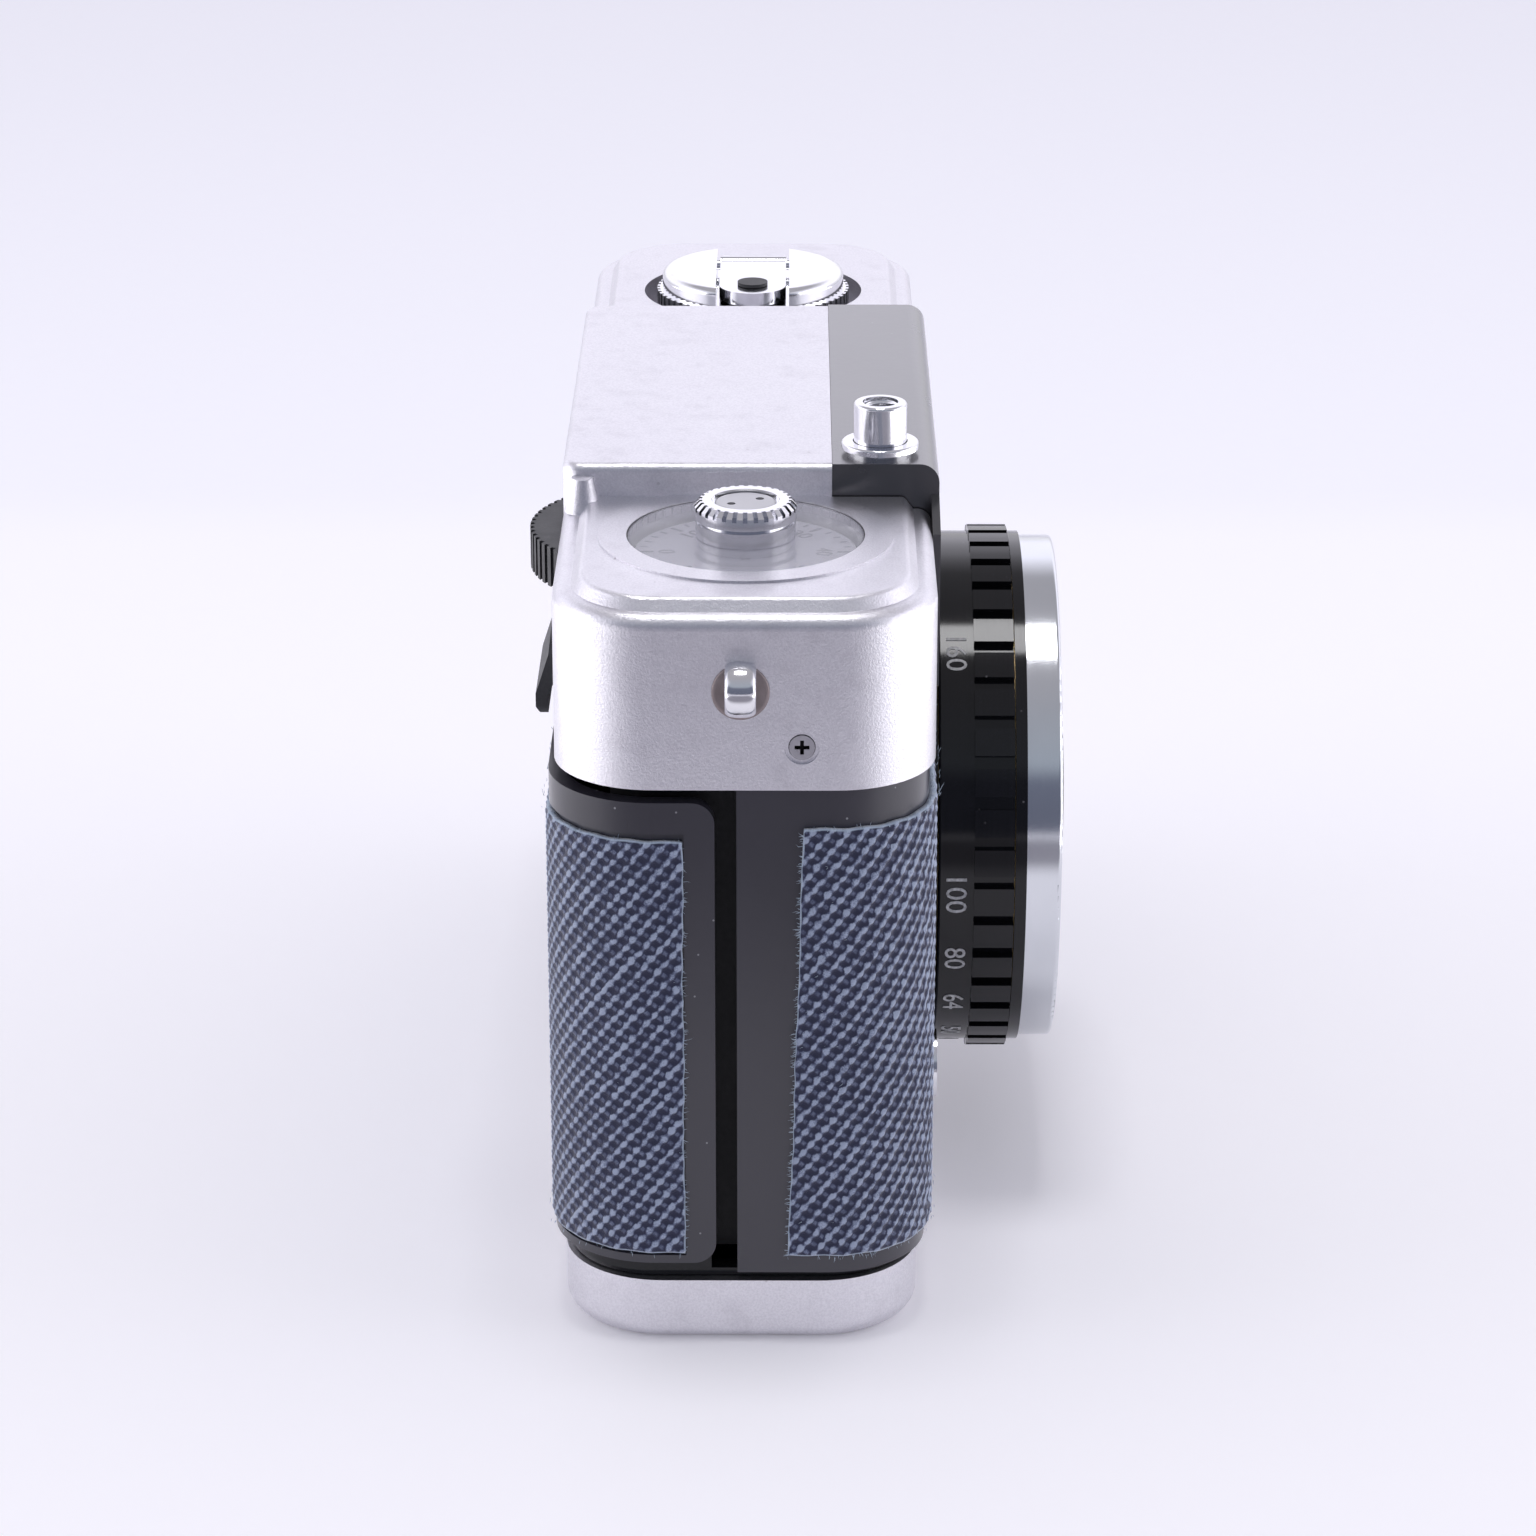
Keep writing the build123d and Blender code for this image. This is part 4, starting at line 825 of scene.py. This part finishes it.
# %% Paint for figures and thread ends
def paint(name, colour):
    finish = Finish(name)
    patchy = finish.noise(0.3 * MM, 3.0)
    dim = tuple(0.6 * part for part in colour)
    finish.use(Base_Color=finish.mix(patchy.fade(0.3, 0.7), dim, colour))
    finish.use(Roughness=patchy * 0.2 + 0.5)
    finish.bump(patchy, 0.01 * MM)
    return finish


finishes["white_paint"] = paint("white paint", (0.62, 0.62, 0.62))
finishes["dark_paint"] = paint("dark paint", (0.09, 0.085, 0.11))
finishes["fringe"] = paint("cotton fringe", (0.50, 0.60, 0.72))
print("two paints and the cotton of the fringes")

# %% Text as corners and faces
def text_mesh(words, tall, thick):
    """The corners and faces of a word, centred, `tall` metres high and standing on z = 0."""
    curve = bpy.data.curves.new("word", "FONT")
    curve.body = words
    curve.align_x = "CENTER"
    curve.align_y = "CENTER"
    curve.resolution_u = 3
    curve.extrude = thick / tall / 2
    carrier = bpy.data.objects.new("word", curve)
    bpy.context.scene.collection.objects.link(carrier)
    bpy.context.view_layer.update()
    solid = carrier.evaluated_get(bpy.context.evaluated_depsgraph_get())
    mesh = bpy.data.meshes.new_from_object(solid)
    spots = [vertex.co.copy() for vertex in mesh.vertices]
    faces = [tuple(face.vertices) for face in mesh.polygons]
    bpy.data.objects.remove(carrier)
    bpy.data.curves.remove(curve)
    bpy.data.meshes.remove(mesh)
    full = max(spot.y for spot in spots) - min(spot.y for spot in spots)
    return [spot * (tall / full) for spot in spots], faces


def add_piece(name, points, faces, finish, body, smooth=False):
    mesh = bpy.data.meshes.new(name)
    mesh.from_pydata([tuple(point) for point in points], [], faces)
    mesh.materials.append(finishes[finish].material)
    mesh.polygons.foreach_set("use_smooth", [smooth] * len(mesh.polygons))
    piece = bpy.data.objects.new(name, mesh)
    bpy.context.scene.collection.objects.link(piece)
    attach(piece, body)
    return piece


print("text and piece helpers ready")

# %% Rolling the figures round the ring
FIGURE_TALL = 1.75 * MM
FIGURE_THICK = 0.06 * MM
FIGURE_LIFT = 0.015 * MM
figure_y = number_low.y + 0.52 * (number_high.y - number_low.y)
degrees_below = {"160": -51, "100": 3, "80": 20, "64": 35, "50": 51, "40": 67, "32": 83, "25": 99}
points, faces = [], []
for words, degrees_down in degrees_below.items():
    spots, parts = text_mesh(words, FIGURE_TALL, FIGURE_THICK)
    first = len(points)
    for spot in spots:
        angle = math.radians(degrees_down) + spot.x / number_radius
        reach = number_radius + spot.z + FIGURE_LIFT
        points.append((lens_x - reach * math.cos(angle), figure_y - spot.y,
                       lens_z - reach * math.sin(angle)))
    faces += [tuple(first + index for index in part) for part in parts]
add_piece("speed_figures", points, faces, "white_paint", "speed_setting")
print(len(degrees_below), "film speeds")

# %% [markdown]
# ## The frame counter's dial
# Under the clear disc a pale dial carries a tick every two frames and a figure every ten, from 0 to
# 70. They are thin raised paint. Each tick is a small box whose corners are found by angle and
# radius, so one loop sets them all round the dial.

# %% One tick and one figure
dial_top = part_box("counter_dial")[1].z
TICK_OUTER = 8.5 * MM
DIAL_FIGURE_TALL = 1.35 * MM
FIGURE_RADIUS = 6.2 * MM
PAINT_THICK = 0.03 * MM


def dial_spot(radius, angle, height):
    return (dial_x + radius * math.sin(angle), dial_y + radius * math.cos(angle), dial_top + height)


def add_tick(points, faces, angle, inner, half_wide):
    """A box from the inner radius to the outer one."""
    first = len(points)
    for radius in (inner, TICK_OUTER):
        for side in (-1, 1):
            for height in (0.0, PAINT_THICK):
                points.append(dial_spot(radius, angle + side * half_wide / radius, height))
    a, b, c, d, e, f, g, h = range(first, first + 8)
    faces += [(b, d, h, f), (a, b, f, e), (c, g, h, d), (a, c, d, b), (e, f, h, g), (a, e, g, c)]


def add_figure(points, faces, angle, words):
    """A word that stands on the dial with its head outwards, bent round the middle."""
    spots, parts = text_mesh(words, DIAL_FIGURE_TALL, PAINT_THICK)
    first = len(points)
    for spot in spots:
        swing = angle + spot.x / FIGURE_RADIUS
        points.append(dial_spot(FIGURE_RADIUS + spot.y, swing, PAINT_THICK / 2 + spot.z))
    faces += [tuple(first + index for index in part) for part in parts]


print("dial at", round(dial_top, 5))

# %% Ticks and figures all round
FRAMES = 80
points, faces = [], []
for frame_number in range(0, FRAMES, 2):
    angle = 2 * math.pi * frame_number / FRAMES
    if frame_number % 10 == 0:
        add_tick(points, faces, angle, 7.3 * MM, 0.14 * MM)
        add_figure(points, faces, angle, str(frame_number))
    else:
        add_tick(points, faces, angle, 7.9 * MM, 0.09 * MM)
add_piece("counter_figures", points, faces, "dark_paint", "counter")
print(FRAMES // 2, "ticks")

# %% [markdown]
# The clear disc sits in the cover with a hair's width of gap, which fills with dirt and draws a dark
# line round it. A thin flat ring stands for the filled gap, which is simpler than finding the gap's
# place again in the finish of the cover.

# %% Rings of points, and the dirt round the window
def turns(count):
    """Angles all the way round."""
    return [2 * math.pi * step / count for step in range(count)]


def grid_faces(rows, columns, first=0):
    """Faces between `rows` rings of `columns` points."""
    made = []
    for row in range(rows - 1):
        for column in range(columns):
            after = (column + 1) % columns
            a, b = first + row * columns + column, first + row * columns + after
            made.append((a, b, b + columns, a + columns))
    return made


DIRT_POINTS = 96
window_radius = (dial_high.x - dial_low.x) / 2
points = []
for radius in (window_radius - 0.09 * MM, window_radius + 0.07 * MM):
    for turn in turns(DIRT_POINTS):
        points.append((dial_x + radius * math.cos(turn), dial_y + radius * math.sin(turn),
                       dial_high.z + 0.012 * MM))
faces = grid_faces(2, DIRT_POINTS)
add_piece("window_dirt", points, faces, "plastic", "camera_body")
print("dirt round a window of radius", round(window_radius, 5))

# %% [markdown]
# ## Strap loops
# Each loop is a bent bar with a rounded section on a thin round seat. A swept oval, run round a
# little more than half a turn, is closer to the pressed metal than a slice of a ring would be.

# %% The bent bars
lug_low, lug_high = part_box("strap_lugs")
LUG_DROP = 2.2 * MM
lug_y, lug_z = (lug_low.y + lug_high.y) / 2, lug_high.z - LUG_DROP
LOOP_MIDDLE = 1.62 * MM
LOOP_THICK = 0.56 * MM
LOOP_WIDE = 1.22 * MM
LOOP_DEGREES = 236
LOOP_RINGS = 33
RING_POINTS = 24
loop_centre = lug_high.x - LOOP_MIDDLE - LOOP_THICK


def oval(angle, power=0.75):
    """A point of a rounded square: 1 is a circle, less is squarer."""
    c, s = math.cos(angle), math.sin(angle)
    return math.copysign(abs(c) ** power, c), math.copysign(abs(s) ** power, s)


bends = [math.radians(LOOP_DEGREES * (step / (LOOP_RINGS - 1) - 0.5)) for step in range(LOOP_RINGS)]
points, faces = [], []
for end in (-1, 1):
    first = len(points)
    for bend in bends:
        for turn in turns(RING_POINTS):
            wide, thick = oval(turn)
            reach = LOOP_MIDDLE + LOOP_THICK * thick
            points.append((end * (loop_centre + reach * math.cos(bend)), lug_y + LOOP_WIDE * wide,
                           lug_z + reach * math.sin(bend)))
    faces += grid_faces(LOOP_RINGS, RING_POINTS, first)
loops = add_piece("strap_loops", points, faces, "polished_chrome", "camera_body",
                  smooth=True)
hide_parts("strap_lugs")
print("two loops, middle radius", LOOP_MIDDLE)

# %% Their round seats
SEAT_PROFILE = [(2.25, 0.0), (2.25, 0.10), (2.17, 0.20), (1.9, 0.20), (0.05, 0.16)]
SEAT_LIFT = 0.4 * MM
SEAT_DROP = 0.4 * MM
SEAT_POINTS = 48
points, faces = [], []
for end in (-1, 1):
    first = len(points)
    for radius, height in SEAT_PROFILE:
        for turn in turns(SEAT_POINTS):
            points.append((end * (shell_high.x + SEAT_LIFT + height * MM),
                           lug_y + radius * MM * math.cos(turn),
                           lug_z - SEAT_DROP + radius * MM * math.sin(turn)))
    faces += grid_faces(len(SEAT_PROFILE), SEAT_POINTS, first)
seats = add_piece("strap_seats", points, faces, "seat", "camera_body", smooth=True)
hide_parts("strap_lugs")
print("two seats of radius", SEAT_PROFILE[0][0], "mm")

# %% [markdown]
# ## Floor of the flash socket
# Inside the socket's ring sits a black insulator with a hole for the pin. A small dished ring with
# a raised rim does it, and it hides the cloth that is pressed flat behind the socket.

# %% Insulator
DISH_PROFILE = [(1.72, 0.0), (1.72, 0.22), (1.45, 0.22), (1.30, 0.10), (0.02, 0.08)]
DISH_POINTS = 40
dish_y = shell_low.y - 0.06 * MM
points = []
for radius, height in DISH_PROFILE:
    for turn in turns(DISH_POINTS):
        points.append((socket_centre[0] + radius * MM * math.cos(turn), dish_y - height * MM,
                       socket_centre[1] + radius * MM * math.sin(turn)))
faces = grid_faces(len(DISH_PROFILE), DISH_POINTS)
add_piece("flash_insulator", points, faces, "plastic", "camera_body", smooth=True)
print("insulator of radius", DISH_PROFILE[0][0], "mm")

# %% [markdown]
# ## Rim of the eyepiece
# The eyepiece looks out through a black moulded rim that lies almost flush with the cover. A few
# rounded rectangles, one inside the other and each a little further out or in, make its dished
# face and the wall down to the glass.

# %% Nested rounded rectangles
rim_low, rim_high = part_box("eyepiece_frame")
rim_x, rim_z = (rim_low.x + rim_high.x) / 2, (rim_low.z + rim_high.z) / 2
cover_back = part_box("top_cover")[1].y
RIM_RINGS = [(0.0, 0.0, -0.02, 2.0), (0.05, 0.05, 0.12, 1.95), (0.4, 0.35, 0.18, 1.7),
             (1.8, 1.5, 0.32, 0.9), (2.25, 1.9, 0.38, 0.6), (2.45, 2.05, 0.30, 0.4),
             (2.5, 2.1, -1.1, 0.3)]
CORNERS = ((1, 1, 0), (-1, 1, 1), (-1, -1, 2), (1, -1, 3))
CORNER_POINTS = 9
points = []
for in_x, in_z, proud, bend in RIM_RINGS:
    wide = (rim_high.x - rim_low.x) / 2 - (in_x + bend) * MM
    tall = (rim_high.z - rim_low.z) / 2 - (in_z + bend) * MM
    for side_x, side_z, quarter in CORNERS:
        for step in range(CORNER_POINTS):
            turn = (quarter + step / (CORNER_POINTS - 1)) * math.pi / 2
            points.append((rim_x + side_x * wide + bend * MM * math.cos(turn), cover_back + proud * MM,
                           rim_z + side_z * tall + bend * MM * math.sin(turn)))
faces = grid_faces(len(RIM_RINGS), len(CORNERS) * CORNER_POINTS)
rim = add_piece("eyepiece_rim", points, faces, "plastic", "camera_body", smooth=True)
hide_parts("eyepiece_frame")
print("eyepiece rim of", len(RIM_RINGS), "rectangles")

# %% [markdown]
# ## Thread inside the shutter button
# The bore of the button takes the tip of a cable release, and its thread catches the light as a
# stack of fine rings. A wall that goes in and out along a helix is enough.

# %% The thread
button_low, button_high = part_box("shutter_button")
button_x, button_y = (button_low.x + button_high.x) / 2, (button_low.y + button_high.y) / 2
PITCH = 0.5 * MM
BORE = 1.44 * MM
THREAD_DEEP = 0.20 * MM
THREAD_LONG = 3.4 * MM
THREAD_POINTS = 48
LEVELS = 49
thread_top = button_high.z - 0.25 * MM
points = []
for level in range(LEVELS):
    rise = thread_top - THREAD_LONG * level / (LEVELS - 1)
    for step, turn in enumerate(turns(THREAD_POINTS)):
        beat = (rise / PITCH + step / THREAD_POINTS) % 1.0
        radius = BORE - THREAD_DEEP * (1 - abs(2 * beat - 1))
        points.append((button_x + radius * math.cos(turn), button_y + radius * math.sin(turn), rise))
faces = grid_faces(LEVELS, THREAD_POINTS)
add_piece("release_thread", points, faces, "polished_chrome", "release", smooth=True)
print(round(THREAD_LONG / PITCH, 1), "turns of thread")

# %% [markdown]
# ## The ring of lenslets
# The light cell sits behind a moulded ring of tiny lenses, which spread the light over it. They lie
# in a honeycomb; a dome at each cell that is wholly inside the ring makes the pattern.

# %% One dome
cell_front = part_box("cell_window")[0].y + 0.01 * MM
LENSLET = 0.92 * MM
DOME = [(1.0, 0.0), (0.86, 0.14), (0.60, 0.27), (0.30, 0.34)]
DOME_HIGH = 0.36 * MM
DOME_POINTS = 12


def add_dome(points, faces, x, z):
    """Rings of shrinking size, closed by a fan of triangles on the last one."""
    first = len(points)
    for size, height in DOME:
        for turn in turns(DOME_POINTS):
            points.append((x + size * LENSLET / 2 * math.cos(turn), cell_front - height * MM,
                           z + size * LENSLET / 2 * math.sin(turn)))
    tip = len(points)
    last = tip - DOME_POINTS
    points.append((x, cell_front - DOME_HIGH, z))
    faces += grid_faces(len(DOME), DOME_POINTS, first)
    faces += [(last + step, last + (step + 1) % DOME_POINTS, tip) for step in range(DOME_POINTS)]


print("a dome of", len(DOME), "rings")

# %% Honeycomb of domes
RING_INNER = 9.4 * MM
RING_OUTER = 18.3 * MM
COLUMN_GAP = 1.02 * LENSLET
ROW_GAP = 0.883 * LENSLET
points, faces, lenslets = [], [], 0
reach = int(RING_OUTER / LENSLET) + 2
for across in range(-reach, reach + 1):
    for upward in range(-reach, reach + 1):
        x, z = (across + 0.5 * (upward % 2)) * COLUMN_GAP, upward * ROW_GAP
        if RING_INNER + LENSLET / 2 < math.hypot(x, z) < RING_OUTER - LENSLET / 2:
            add_dome(points, faces, lens_x + x, lens_z + z)
            lenslets += 1
add_piece("lenslets", points, faces, "lenslet", "camera_body", smooth=True)
print(lenslets, "lenslets")

# %% [markdown]
# ## Frayed edges
# Scissors leave the ends of the cotton threads standing out of the cut as a short pale fringe. Hair
# would be quick to set up, but it has no faces and is lost when the model is exported, so each fibre
# is a thin three-sided stalk. Their places and tilts come from one seeded list, so they are
# the same in every run.

# %% One fibre, and a fringe of them
FIBRE_TURNS = (0.0, 2.09, 4.19)
FIBRE_SHORT = 0.18
FIBRE_LONG = 0.50
STRAY_SHARE = 0.06


def fibre(points, faces, root, tip, thick):
    """A bent three-sided stalk from root to tip."""
    axis = tip - root
    side = axis.cross(Vector((0.3, 0.5, 1.0))).normalized()
    other = axis.cross(side).normalized()
    bend = (side + other) * random.uniform(-0.15, 0.15) * axis.length
    first = len(points)
    for share, width in ((0.0, 1.0), (0.55, 0.8)):
        middle = root + axis * share + bend * math.sin(share * math.pi)
        for turn in FIBRE_TURNS:
            points.append(middle + (side * math.cos(turn) + other * math.sin(turn)) * thick * width)
    points.append(tip)
    faces += grid_faces(2, 3, first)
    faces += [(first + 3 + step, first + 3 + (step + 1) % 3, first + 6) for step in range(3)]


def fray(name, body, spots, count):
    """Fibres along a list of places; every other one goes where the cut faces front or back."""
    points, faces = [], []
    ends = [spot for spot in spots if abs(spot[1].y) > 0.5]
    for turn in range(count):
        place, outward, lift = random.choice(ends if turn % 2 and ends else spots)
        long = random.uniform(FIBRE_SHORT, FIBRE_LONG) * MM * (2.0 if random.random() < STRAY_SHARE else 1.0)
        tilt = Vector([random.uniform(-0.7, 0.7) for _ in range(3)])
        root = place + lift * random.uniform(0.10, 0.45) * MM
        fibre(points, faces, root, root + (outward + tilt * 0.7 + lift * 0.15).normalized() * long,
              random.uniform(0.018, 0.034) * MM)
    add_piece(name, points, faces, "fringe", body, smooth=True)


print("fibre helpers ready")

# %% Places along a cut edge: bands along its sides, and the flat core of the shell's plan
EDGE_BAND = 0.3 * MM
END_BAND = 1.5 * MM
CORE_X = 46.6 * MM
CORE_Y = 7 * MM


def numbers_of(data, name, count):
    """One named triple of numbers for each vertex, as an array of rows."""
    flat = np.zeros(count * 3, dtype=np.float32)
    data.foreach_get(name, flat)
    return flat.reshape(-1, 3)


def nearest(value, limit):
    """The value, held between -limit and limit."""
    return max(-limit, min(limit, value))


def edge_spots(covering_name):
    """Places on the rim of a covering, each with the way its cut faces and the way off the shell."""
    mesh = bpy.data.objects[covering_name].data
    cut = numbers_of(mesh.attributes["cloth"].data, "vector", len(mesh.vertices))
    places = numbers_of(mesh.vertices, "co", len(mesh.vertices))
    low, high = cut[:, 1].min(), cut[:, 1].max()
    found = []
    for index in np.nonzero(cut[:, 2] > 0.98)[0]:
        x, y, z = (float(value) for value in places[index])
        rise = cut[index, 1]
        outward = Vector((0, 0, 1)) if rise > high - EDGE_BAND else Vector((0, 0, -1))
        if low + EDGE_BAND < rise < high - EDGE_BAND:
            if abs(abs(x) - shell_high.x) > END_BAND:
                continue
            outward = Vector((0, 1.0 if y < 0 else -1.0, 0))
        away = Vector((x - nearest(x, CORE_X), y - nearest(y, CORE_Y), 0))
        found.append((Vector((x, y, z)), outward, away.normalized()))
    return found


print("edge helper ready")

# %% The three fringes
FEWER = 1
for cloth_name, body, count in (("twill_near", "camera_body", 900), ("twill_far", "camera_body", 900),
                                ("twill_back", "film_back", 1100)):
    fray(cloth_name + "_fringe", body, edge_spots(cloth_name), count // FEWER)
    print(cloth_name, "fringe of", count // FEWER)
